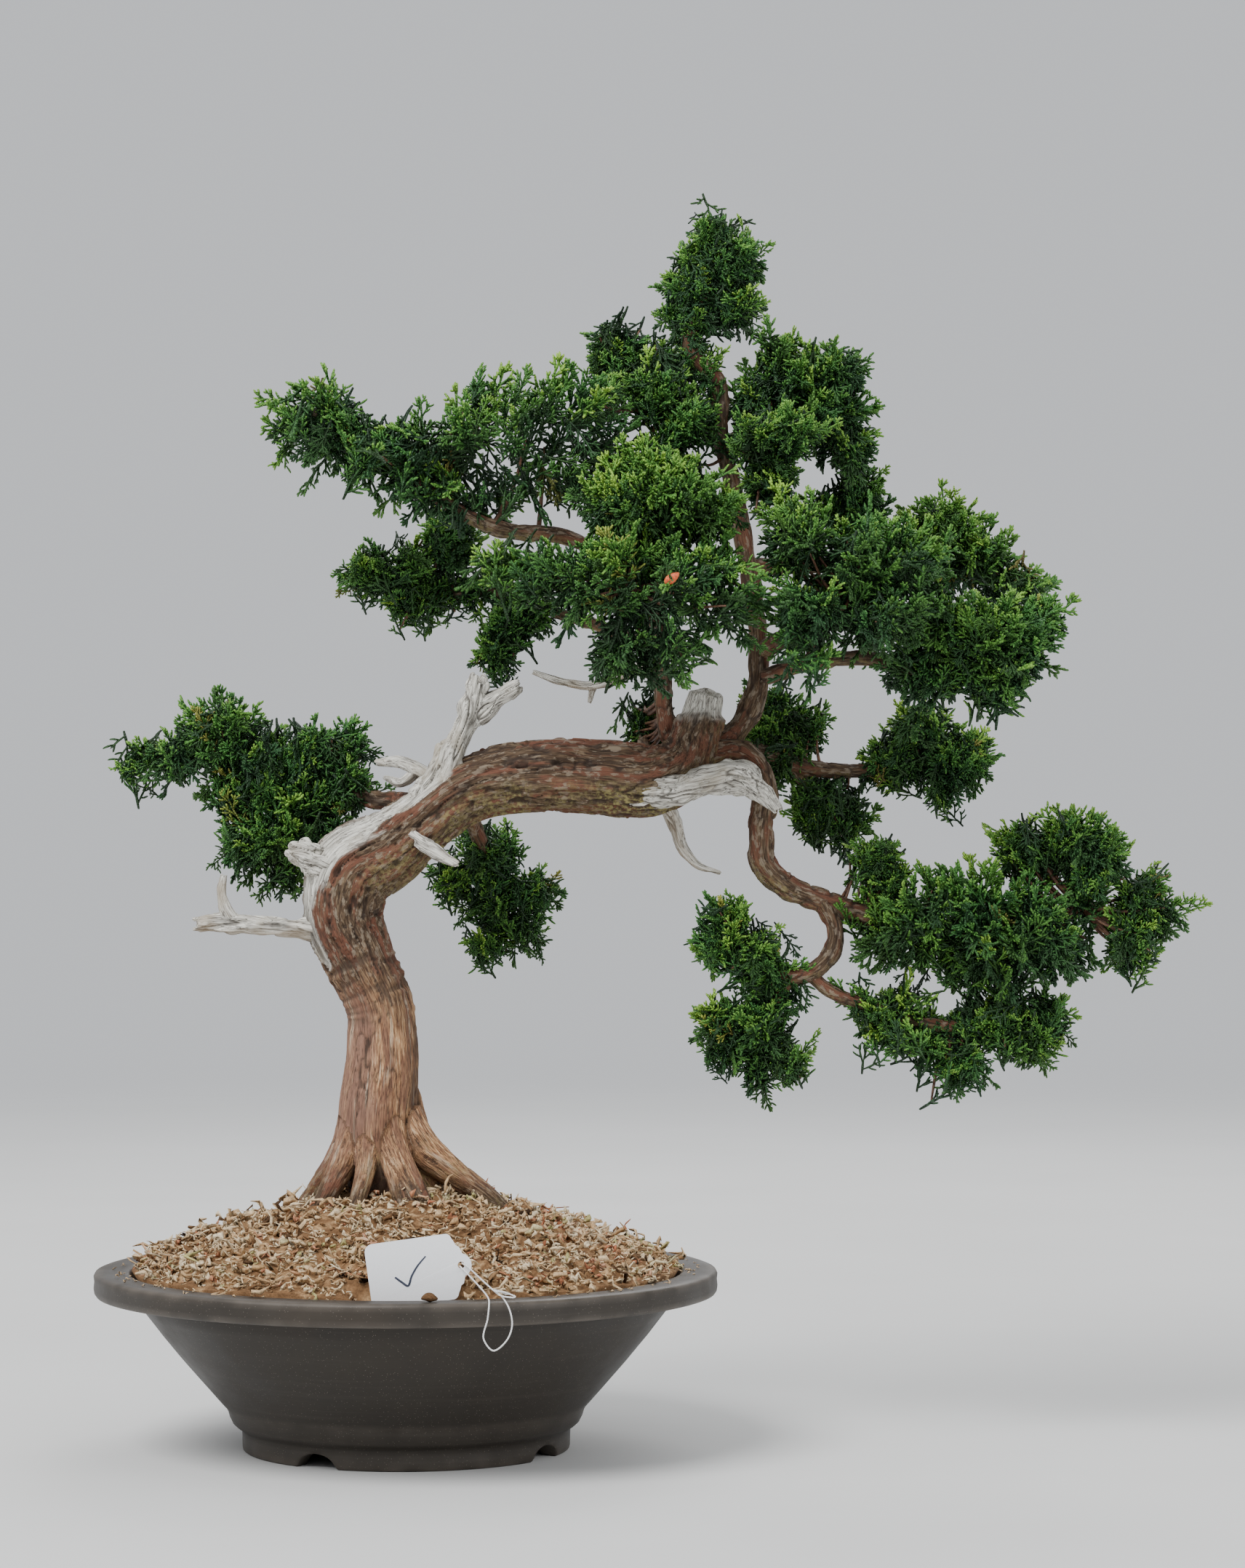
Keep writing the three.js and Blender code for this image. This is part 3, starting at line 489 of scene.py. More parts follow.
def deadwood_look():
    """Weathered wood, with painted shade in its furrows and brown where some bark's colour is left."""
    look = Look("deadwood", 0.72, Specular_IOR_Level=0.3)
    grain = look.value("grain", "Vector")
    colour = deadwood_colour(look, grain)
    # Painted shade in the cracks and pits.
    colour = look.mix(look.span(look.value("deep"), 0.2, 1, 0, 0.85), colour, (0.07, 0.06, 0.05))
    colour = look.mix(look.value("rusty"), colour, (0.33, 0.25, 0.165))
    fibre = look.streaks(grain, 0.07, 1.6, 5)
    return look.done(colour, None, look.bump(fibre, 0.7, 0.5))


def foliage_look():
    """Scale leaves: painted shade makes them dark green inside and beneath; yellow-green at the growing
    tips.
    """
    look = Look("foliage", 0.52, Specular_IOR_Level=0.4)
    tone, hue = look.value("tone"), look.value("hue")
    cool = look.ramp(
        tone, (0, (0.010, 0.026, 0.012)), (0.4, (0.026, 0.090, 0.028)), (0.75, (0.062, 0.215, 0.040)),
        (1, (0.175, 0.400, 0.062)))
    warm = look.ramp(
        tone, (0, (0.014, 0.032, 0.010)), (0.4, (0.046, 0.125, 0.020)), (0.75, (0.125, 0.310, 0.032)),
        (1, (0.340, 0.560, 0.070)))
    colour = look.mix(hue, cool, warm)
    dry = look.mix(tone, (0.12, 0.085, 0.025), (0.50, 0.47, 0.09))
    colour = look.mix(look.value("dry"), colour, dry)
    wood = look.noise(look.place(), 500, 4)
    twig = look.ramp(wood, (0.35, (0.075, 0.035, 0.022)), (0.65, (0.24, 0.12, 0.07)))
    colour = look.mix(look.value("wood"), colour, twig)
    scales = look.math("SINE", look.math("MULTIPLY", look.value("along"), 5.2))
    colour = look.mix(look.span(scales, -1, 1, 0.38, 0), colour, (0.25, 0.3, 0.25), "MULTIPLY")
    return look.done(colour, None, look.bump(scales, 0.5, 0.25))


def cotton_look():
    """White cotton, with painted shade between its plies."""
    look = Look("cotton", 0.9, Sheen_Weight=0.2, Specular_IOR_Level=0.2)
    # The grey between the plies is painted shade; twist is 1 on their crests.
    colour = look.mix(look.value("twist"), (0.55, 0.55, 0.55), (0.87, 0.87, 0.86))
    fuzz = look.noise(look.place(), 6000, 3)
    return look.done(colour, None, look.bump(fuzz, 0.4, 0.08))


CLAY, MOSS, BARK, DEADWOOD = clay_look(), moss_look(), bark_look(), deadwood_look()
FOLIAGE, COTTON = foliage_look(), cotton_look()
SOIL = mottled_look(
    "soil", 0.95, 240, 6, (0.35, (0.035, 0.024, 0.016)), (0.65, (0.12, 0.085, 0.055)), bump=(0.9, 1.5),
    lumpy=0.65)
CARD = mottled_look(
    "card", 0.55, 1400, 4, (0.3, (0.86, 0.875, 0.90)), (0.7, (0.91, 0.92, 0.94)), bump=(0.12, 0.1),
    Specular_IOR_Level=0.4)
INK = mottled_look("ink", 0.4, 500, 3, (0.3, (0.022, 0.030, 0.055)), (0.7, (0.045, 0.055, 0.09)))
PLASTIC = mottled_look(
    "screen_plastic", 0.5, 900, 3, (0.3, (0.010, 0.012, 0.011)), (0.7, (0.020, 0.022, 0.020)),
    bump=(0.15, 0.1), gloss=(0.42, 0.58))
WIRE = mottled_look(
    "wire", 0.4, 700, 4, (0.3, (0.33, 0.27, 0.23)), (0.7, (0.50, 0.44, 0.39)), bump=(0.15, 0.1),
    gloss=(0.32, 0.5), Metallic=1.0)
SCALES = mottled_look(
    "bud_scales", 0.6, 800, 4, (0.3, (0.50, 0.060, 0.018)), (0.6, (0.76, 0.155, 0.045)),
    (0.8, (0.80, 0.34, 0.16)), bump=(0.4, 0.3))

# ---------------------------------------------------------------- tag string

STRING_RADIUS, STRING_LAY = 0.4, 2.4
# The loop's route, as in the CAD, with heights from the table.
STRING_ROUTE = [
    [32.2, -130.4, 107.2], [32.4, -133.2, 107.3], [34.4, -135.6, 105.6], [39.6, -138.4, 100.6],
    [44.6, -143, 95.6], [46.6, -149, 93.4], [47, -154.4, 91.4], [46.4, -155.6, 85], [44.6, -155.2, 74.4],
    [48.8, -155.4, 69.4], [55.6, -154.8, 74.4], [58, -153.8, 81], [56.8, -152.8, 88.6], [54, -149.8, 93.4],
    [48.4, -143, 97.2], [41.6, -137.6, 102.6], [36, -135, 107.4], [33.6, -132.8, 108.7],
    [33.2, -130.2, 108.9],
]
# The bow of the knot, lying on the lip.
KNOT = [
    [50.2, -147.6, 96.2], [52.2, -149.6, 95.2], [55.8, -151.6, 94.6], [58.8, -151.2, 94.4],
    [59.4, -149, 94.6], [56.6, -147.6, 95.6], [53, -147.8, 96.8], [50.4, -149.4, 97],
    [49.4, -147.8, 97.6], [51.4, -146.4, 97], [54.6, -146.6, 95.6], [56.8, -144.6, 95.2],
]


def twine(name, route):
    """A two-ply string about a route of points."""
    rows = [[x, y, height - POT_HEIGHT, STRING_RADIUS] for x, y, height in route]
    line, along = smooth_line(rows, 0.3)

    def plies(angle):
        turn = angle[None, :] - (along * 2 * math.pi / STRING_LAY)[:, None]
        return 0.8 + 0.2 * np.abs(np.cos(turn))

    points, quads, triangles = tube(line, 12, plies)
    # twist is 1 on the plies' crests and falls to 0 between them, where the material paints shade.
    twist = (plies(np.arange(12) * math.pi / 6) - 0.8) / 0.2
    twist = np.concatenate([twist.ravel(), [1, 1]])
    mesh = build_mesh(name, placed(points), quads, triangles, {"twist": twist})
    return mesh, placed(line), along[-1]


def make_string():
    """The tag's loop, which hangs over the lip, and the bow of its knot."""
    mesh, path, length = twine("tag_string_loop", STRING_ROUTE)
    loop = piece("tag_string_loop", mesh, COTTON, ["tag_string"])
    knot = piece("tag_string_knot", twine("tag_string_knot", KNOT)[0], COTTON)


make_string()

# ---------------------------------------------------------------- pot

POT_SEGMENTS = 384
NOTCH_HALF_WIDTH, NOTCH_HEIGHT = 11.5, 7.5
NOTCH_ANGLES = [-30, 60, 150, 240]
# The foot ring lies outside one radius and below one height; the pot's body outside and above others.
FOOT_INNER, FOOT_TOP = 73.5, 11
BODY_INNER, BODY_LOW = 90, 22
# [radius, height from the table, paler edge from wear and a painted highlight] round the pot's section,
# starting in the drain hole.
POT_PROFILE = [
    [16, 14, 0], [16, 6.4, 0], [17, 6, 0], [73, 6, 0], [73.8, 5.4, 0], [74, 4.8, 0], [74, 0.8, 0.3],
    [74.8, 0, 0.6], [82.6, 0, 0.6], [83.7, 0.7, 0.8], [84, 2, 0.5], [84.2, 10.2, 0], [84.8, 11.2, 0],
    [87, 12.6, 0], [89, 14.4, 0.1], [90.6, 17.6, 0.1], [91.4, 20.4, 0.2], [92.6, 22.2, 0.3],
    [95.2, 25, 0], [113.5, 46, 0], [125, 60, 0], [134.6, 72.6, 0], [135.4, 76, 0], [136, 79.2, 0],
    [137.4, 80, 0], [156.8, 80, 0.2], [158.8, 80.5, 0.9], [159.7, 81.8, 0.5], [160, 84, 0.1],
    [159.6, 87.4, 0.1], [159.9, 90, 0.5], [159.2, 91.4, 1], [157.6, 92, 0.7], [154, 92.1, 0.15],
    [146, 91.7, 0.1], [143, 91.8, 0.6], [141.6, 91.2, 0.6], [141, 90, 0.2], [127, 72, 0],
    [83.4, 14.6, 0], [81, 14, 0], [17, 14, 0],
]


def make_pot():
    """The pot's section turned round its middle, with the foot ring's notches and a hand-thrown sway."""
    rows = []
    for start, end in zip(np.array(POT_PROFILE), np.roll(POT_PROFILE, -1, axis=0)):
        count = max(1, round(math.hypot(*(end - start)[:2]) / 3))
        rows += [start + (end - start) * (k / count) for k in range(count)]
    rows = np.array(rows)
    angle = np.arange(POT_SEGMENTS) * 2 * math.pi / POT_SEGMENTS
    radius, height, edge = [np.repeat(column[:, None], POT_SEGMENTS, axis=1) for column in rows.T]
    # The foot ring's lower part rises over four arches.
    foot = (radius > FOOT_INNER) & (height < FOOT_TOP)
    for degrees in NOTCH_ANGLES:
        turn = math.radians(degrees)
        across = radius * np.sin(angle - turn)[None, :]
        near = np.cos(angle - turn)[None, :] > 0
        arch = NOTCH_HEIGHT * np.sqrt(np.clip(1 - (across / NOTCH_HALF_WIDTH) ** 2, 0, 1))
        lifted = np.maximum(height, arch + 0.02 * height)
        height = np.where(foot & near & (arch > 0), lifted, height)
    points = np.stack([radius * np.sin(angle), -radius * np.cos(angle), height - POT_HEIGHT], axis=-1)
    points = points.reshape(-1, 3)
    quads = ring_quads(len(rows), POT_SEGMENTS) % len(points)
    sway = noise(points, 55, 3) * 0.35 + noise(points * [1, 1, 2.5], 16, 4) * 0.1
    body = np.repeat((rows[:, 1] > BODY_LOW) & (rows[:, 0] > BODY_INNER), POT_SEGMENTS)
    points[:, :2] *= (1 - np.where(body, np.abs(sway), 0) / 130)[:, None]
    # The edges are unevenly paled by wear and a painted highlight.
    wear_and_highlight = np.clip(edge.ravel() * (0.8 + 0.5 * noise(points, 9, 5, 2)), 0, 1)
    mesh = build_mesh("pot_body", placed(points), quads, layers={"edge": wear_and_highlight})
    piece("pot_body", mesh, CLAY, ["pot"])


# ---------------------------------------------------------------- moss

MOUND_RADIUS, MOUND_RISE, MOUND_UNDERSIDE = 140.4, 41, -7.5
MOUND_RINGS, MOUND_SEGMENTS, STRANDS, CRUMBS = ((84, 210, 7000, 90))
CARD_MIDDLE = 13
# A bit of bark that lies on the lip before the card.
CHIP = [[14.6, -150, 1.6, 0.9], [16.5, -151, 2.4, 2.2], [19.5, -151, 2.2, 2.4], [22, -150, 1.5, 0.8]]
# Shares of the mound's radius and of its rise.
MOUND = np.array([[0, 1], [0.2, 0.96], [0.42, 0.75], [0.64, 0.5], [0.86, 0.25], [1, 0]])


def mound_height(points):
    """The moss surface's height over points, with its hollows and humps."""
    out = np.linalg.norm(points[:, :2], axis=1) / MOUND_RADIUS
    smooth = sum(np.interp(np.clip(out + k, 0, 1), *MOUND.T) for k in (-0.06, -0.03, 0, 0.03, 0.06)) / 5
    flat = np.column_stack([points[:, :2], np.zeros(len(points))])
    bumps = noise(flat, 26, 11) * 1.6 + noise(flat, 9, 12) * 2.6 + noise(flat, 4.5, 13) * 2.0
    height = smooth * MOUND_RISE + bumps * (0.35 + 0.65 * smoothstep(1, 0.93, out)) - 0.6
    # It is pressed down in front of the card.
    pressed = smoothstep(-127, -132, points[:, 1]) * smoothstep(38, 30, np.abs(points[:, 0] - CARD_MIDDLE))
    return height * (1 - pressed) - 5 * pressed


def strands(base, heading, length, width, lift, curl, rng):
    """Curled three-sided strands, all at once: points, triangles and the number of points in each."""
    count, rings = len(base), 5
    length, lift, curl = [values[:, None, None] for values in (length, lift, curl)]
    crumple = rng.normal(0, 0.15, (count, rings, 3)) * length
    up = np.array([0, 0, 1.0])
    side = unit(np.cross(heading, up) + 1e-6)
    t = np.linspace(0, 1, rings)[None, :, None]
    middle = base[:, None] + heading[:, None] * length * t
    middle = middle + side[:, None] * curl * (t - t * t) * length
    middle = middle + up * (lift * length * (t - 0.7 * t * t))
    middle[:, 1:] += crumple[:, 1:]
    spread = width[:, None, None] * np.array([0.45, 0.9, 1, 0.85, 0.3])[None, :, None]
    spread = spread * rng.uniform(0.55, 1.4, (count, rings, 1))
    turn = rng.uniform(0, math.pi, count)
    first = side * np.cos(turn)[:, None] + up * np.sin(turn)[:, None]
    second = unit(np.cross(heading, first))
    corners = [middle + first[:, None] * spread, middle - first[:, None] * spread,
               middle + second[:, None] * spread * 0.8]
    points = np.stack(corners, axis=2).reshape(-1, 3)
    pattern = sleeve(rings) + [[0, 2, 1], [rings * 3 - 3, rings * 3 - 2, rings * 3 - 1]]
    return points, copies(pattern, count, rings * 3), rings * 3


def polar(radius, turn, height=0.0):
    """Points at distances and turns about the pot's middle."""
    radius, turn, height = np.broadcast_arrays(radius, turn, height)
    return np.stack([radius * np.cos(turn), radius * np.sin(turn), height], axis=-1).reshape(-1, 3)


def moss_ground():
    """The mound as one closed solid under the strands: points, quads and triangles."""
    out = np.linspace(0.01, 1, MOUND_RINGS)[:, None] * MOUND_RADIUS
    top = polar(out, np.arange(MOUND_SEGMENTS) * 2 * math.pi / MOUND_SEGMENTS)
    top[:, 2] = mound_height(top)
    edge = top[-MOUND_SEGMENTS:] * [0.965, 0.965, 0] + [0, 0, MOUND_UNDERSIDE]
    middles = np.array([[0, 0, mound_height(np.zeros((1, 3)))[0]], [0, 0, MOUND_UNDERSIDE]])
    quads = ring_quads(MOUND_RINGS, MOUND_SEGMENTS)[:, ::-1]
    caps = ring_caps(MOUND_RINGS + 1, MOUND_SEGMENTS)[:, [1, 0, 2]]
    return np.vstack([top, edge, middles]), quads, caps


def make_moss():
    """Chopped moss in strands over a lumpy mound, with crumbs and a chip of bark on the lip."""
    rng = np.random.default_rng(5)
    points, quads, caps = moss_ground()
    count = STRANDS
    radius = MOUND_RADIUS * rng.uniform(0, 1, count) ** 0.43 * 0.985
    base = polar(radius, rng.uniform(0, 2 * math.pi, count))
    base[:, 2] = mound_height(base) + rng.uniform(-1.0, 2.2, count)
    heading = unit(np.column_stack([rng.normal(size=(count, 2)), rng.normal(0, 0.5, count)]))
    length = rng.gamma(3.2, 1.3, count).clip(1.8, 9.5)
    width = (0.45 + rng.gamma(2.2, 0.33, count)).clip(0.4, 2.2)
    # The strands before the card shrink to nothing, and those that cross it stop behind it.
    before_card = (np.abs(base[:, 0] - CARD_MIDDLE) < 32) & (base[:, 1] < TAG_PLANE + 2)
    length[before_card], width[before_card] = 0.1, 0.1
    lift, curl = rng.uniform(0, 0.8, count), rng.normal(0, 2.2, count)
    p, t, each = strands(base, heading, length, width, lift, curl, rng)
    beside_card = (np.abs(p[:, 0] - CARD_MIDDLE) < 30) & (p[:, 2] < 14)
    p[:, 1] = np.where(beside_card, np.maximum(p[:, 1], TAG_PLANE + 0.9), p[:, 1])
    fallen = polar(rng.uniform(141.5, 152, CRUMBS), rng.uniform(0, 2 * math.pi, CRUMBS), 0.5)
    flat = unit(np.column_stack([rng.normal(size=(CRUMBS, 2)), np.zeros(CRUMBS)]))
    q, u, _ = strands(fallen, flat, rng.uniform(1, 3.4, CRUMBS), rng.uniform(0.25, 0.6, CRUMBS),
                      np.zeros(CRUMBS), rng.normal(0, 0.5, CRUMBS), rng)
    patch = noise(base, 20, 21) * 0.13
    tint = np.repeat(np.clip(rng.beta(1.5, 1.1, count) + patch, 0, 1), each)
    rust = np.repeat((rng.uniform(size=count) < 0.09) * rng.uniform(0.35, 0.95, count), each)
    ground = 0.09 + 0.35 * np.clip(noise(points, 5, 22, 3), -1, 1) ** 2
    line, _ = smooth_line(CHIP, 0.8)
    chip, chip_quads, chip_caps = tube(
        line, 9, lambda angle: 0.85 + 0.2 * np.sin(3 * angle[None] + 5 * len(line)))
    all_points = np.vstack([points, p, q, chip])
    before_chip = len(all_points) - len(chip)
    quads = np.vstack([quads, chip_quads + before_chip])
    triangles = np.vstack([caps, t + len(points), u + len(points) + len(p), chip_caps + before_chip])
    layers = {
        "tint": np.concatenate([ground, tint, np.full(len(q), 0.55), np.full(len(chip), 0.07)]),
        "rust": np.concatenate([np.zeros(len(points)), rust, np.zeros(len(q) + len(chip))]),
    }
    mesh = build_mesh("moss_mound", placed(all_points), quads, triangles, layers)
    piece("moss_mound", mesh, MOSS, ["moss_dressing"])


# ---------------------------------------------------------------- tag


def outline_mesh(name, shapes, depth):
    """A flat plate from closed outlines in one plane, the later ones as holes."""
    curve = bpy.data.curves.new(name, "CURVE")
    curve.dimensions, curve.fill_mode, curve.extrude = "2D", "BOTH", depth / 2
    for shape in shapes:
        spline = curve.splines.new("POLY")
        spline.points.add(len(shape) - 1)
        for point, (x, y) in zip(spline.points, shape):
            point.co = (x, y, 0, 1)
        spline.use_cyclic_u = True
    thing = put(name, curve)
    mesh = thing.evaluated_get(bpy.context.evaluated_depsgraph_get()).to_mesh().copy()
    bpy.data.objects.remove(thing)
    mesh.name = name
    return mesh


TAG_LENGTH, TAG_HALF, TAG_CORNER, TAG_THICKNESS = 50.5, 16, 4, 0.5
TAG_TILT, TAG_LEFT, TAG_RISE, TAG_PLANE = math.radians(8), -12.2, 9.7, -133.0
# The pen's tick: [along, up, out of the card, half width].
TICK = [[13, -1.5, 0.27, 0.5], [16, -4.4, 0.27, 0.55], [18.4, -6.4, 0.27, 0.55], [21, -2, 0.27, 0.5],
        [24.6, 2.6, 0.27, 0.45], [29, 6.6, 0.27, 0.35]]


def on_tag(points):
    """Card coordinates, [along, up, out of the card], as points in millimetres."""
    x, y, out = np.asarray(points, float).T
    bend = 0.5 * (x / TAG_LENGTH - 0.5) ** 2
    cosine, sine = math.cos(TAG_TILT), math.sin(TAG_TILT)
    return np.column_stack([
        TAG_LEFT + x * cosine - y * sine, TAG_PLANE - out + bend, TAG_RISE + x * sine + y * cosine])


def arc(x, y, radius, start, end, count=10):
    """Points along an arc about [x, y]."""
    return [(x + radius * math.cos(a), y + radius * math.sin(a)) for a in np.linspace(start, end, count)]


def make_tag():
    """A card with a round nose where its hole is, and a plain tick in pen."""
    pi, half = math.pi, TAG_HALF
    shape = arc(TAG_CORNER, -half + TAG_CORNER, TAG_CORNER, pi, 1.5 * pi)
    shape += arc(39.5, -half + 3, 3, 1.5 * pi, 1.85 * pi)
    shape += [(42.6, -13.2), (43.2, -12.2), (43.8, -10.8), (44.2, -9.8), (45.6, -8.9)]
    shape += arc(44.6, 0, 5.9, -0.38 * pi, 0.38 * pi, 16)
    shape += [(45.6, 8.9), (44.2, 9.8), (43.8, 10.8), (43.2, 12.2), (42.6, 13.2)]
    shape += arc(39.5, half - 3, 3, 0.15 * pi, 0.5 * pi)
    shape += arc(TAG_CORNER, half - TAG_CORNER, TAG_CORNER, 0.5 * pi, pi)
    hole = arc(TAG_LENGTH - 5, 0, 1.7, 0, 2 * pi, 25)[:-1]
    mesh = outline_mesh("tag_card", [shape, hole], TAG_THICKNESS)
    flat = np.array([v.co for v in mesh.vertices])
    mesh.vertices.foreach_set("co", placed(on_tag(flat)).astype(np.float32).ravel())
    mesh.update()
    piece("tag_card", mesh, CARD, ["tag"])
    points, quads, triangles = tube(smooth_line(TICK, 0.4)[0], 10)
    # The pen's line lies flat on the card.
    points[:, 2] = 0.25 + np.clip((points[:, 2] - 0.27) * 0.12, -0.04, 0.06)
    mark = build_mesh("tag_pen_tick", placed(on_tag(points)), quads, triangles)
    piece("tag_pen_tick", mark, INK)


# ---------------------------------------------------------------- wood

# Limbs of the tree and its deadwood: rows of [x, y, height, radius].
TRUNK = [
    [-13, 0, 6, 15], [-13, 0, 38, 16.5], [-13, 0, 54, 18.6], [-14, 0, 72, 20.2], [-12, 0, 112, 18.4],
    [-14, 0, 136, 17.5], [-24, 0, 158, 18], [-33, 0, 184, 20.5], [-28, 0, 204, 22], [-10, 0, 216, 19.5],
    [6, 0, 228, 17], [28, 0, 245, 16.5], [62, 0, 253, 18], [100, 0, 252, 18.5], [128, 0, 251, 18],
    [144, -1, 260, 15.5], [150, -2, 278, 12], [154, -3, 296, 9.5],
]
ROOTS = [
    [[-22, -3, 90, 9], [-26, -6, 71, 8.6], [-32, -11, 55, 7.2], [-40, -17, 39, 5.8], [-48, -21, 24, 4.4]],
    [[-18, -9, 86, 8], [-19, -13, 67, 6.8], [-20, -20, 52, 5.3], [-24, -29, 36, 4.4], [-28, -35, 22, 3.4]],
    [[-9, -8, 90, 9], [-7, -13, 69, 8.2], [0, -21, 53, 6.8], [8, -30, 39, 5.6], [15, -38, 24, 4.2]],
    [[-8, -12, 68, 6], [-6, -21, 52, 4.7], [-2, -31, 39, 4], [2, -40, 26, 3]],
    [[-9, -1, 98, 9], [-3, -3, 80, 10], [8, -6, 63, 8.8], [25, -8, 49, 7.2], [40, -9, 39, 5.8],
     [56, -10, 25, 4.2]],
    [[-2, 4, 88, 9.5], [6, 10, 65, 7.6], [22, 19, 47, 5.8], [42, 26, 27, 4]],
    [[-8, 2, 70, 9], [4, 0, 50, 8.5], [14, 0, 36, 7.5], [24, 0, 22, 5]],
    [[-24, 2, 86, 8.5], [-31, 6, 63, 7], [-43, 10, 45, 5.6], [-58, 12, 24, 4]],
    [[-19, 8, 90, 9], [-24, 14, 66, 7.6], [-34, 24, 46, 6], [-48, 34, 22, 4.4]],
    [[-12, 9, 90, 9.5], [-12, 17, 65, 7.8], [-9, 30, 45, 6], [-5, 42, 22, 4.4]],
    [[-6, 8, 86, 8.5], [4, 17, 63, 6.8], [15, 30, 44, 5.4], [24, 41, 22, 4]],
]
SHORT_TWIG = [[122, 12, 264, 3.6], [122, 32, 270, 2.8], [123, 46, 276, 2]]

JINS = {
    "jin_tall_fork": [
        [[10, -3, 238, 9.5], [20, -4, 255, 9.5], [28, -4, 273, 7.2], [33, -4, 286, 7.2], [36, -5, 301, 5.0]],
        [[31, -4, 281, 6.4], [42, -4, 290, 5.4], [56, -3, 298, 3.9]],
    ],
    "jin_knob": [[[-33, -4, 205, 7], [-44, -9, 211, 8.4], [-54, -11, 214, 6.4]]],
    "jin_left_fork": [
        [[-40, -3, 173, 7], [-58, -4, 175, 5.6], [-76, -5, 176, 5.4], [-92, -5, 177.5, 5],
         [-106, -6, 177, 3.8]],
        [[-88, -5, 177, 3.8], [-93, -6, 186, 3.2], [-94.5, -6, 194, 2.5], [-93.5, -6, 201, 1.8]],
    ],
    "jin_front_stub": [[[0, -10, 224, 5], [8, -18, 219, 3.6], [17, -23, 214, 3.0], [26, -26, 209, 2.1]]],
    "jin_back_antler": [
        [[16, 10, 246, 5.5], [6, 20, 255, 4.5], [-5, 25, 260, 3.4], [-16, 28, 260, 1.8]],
        [[4, 21, 254, 3.6], [-4, 20, 249, 2.8], [-12, 20, 252, 1.6]],
    ],
    "jin_branch_end": [
        [[116, -10, 246, 8], [140, -15, 247, 8.6], [158, -19, 251, 9.6], [172, -21, 252, 9],
         [181, -22, 246, 5.5], [189, -23, 237, 2.8]],
    ],
    "jin_lower_twig": [
        [[132, 6, 240, 6], [137, 10, 229, 4.4], [142, 11, 216, 3], [150, 11, 207, 2.1], [161, 10, 203, 1.2]],
    ],
    "jin_upper_twig": [
        [[130, 14, 305, 3.4], [116, 26, 308, 3.2], [105, 30, 303, 3], [94, 30, 300, 2.6], [80, 30, 302, 2.1],
         [65, 30, 307, 1.3]],
        [[96, 30, 300, 2.2], [94, 30, 292, 1.1]],
    ],
}

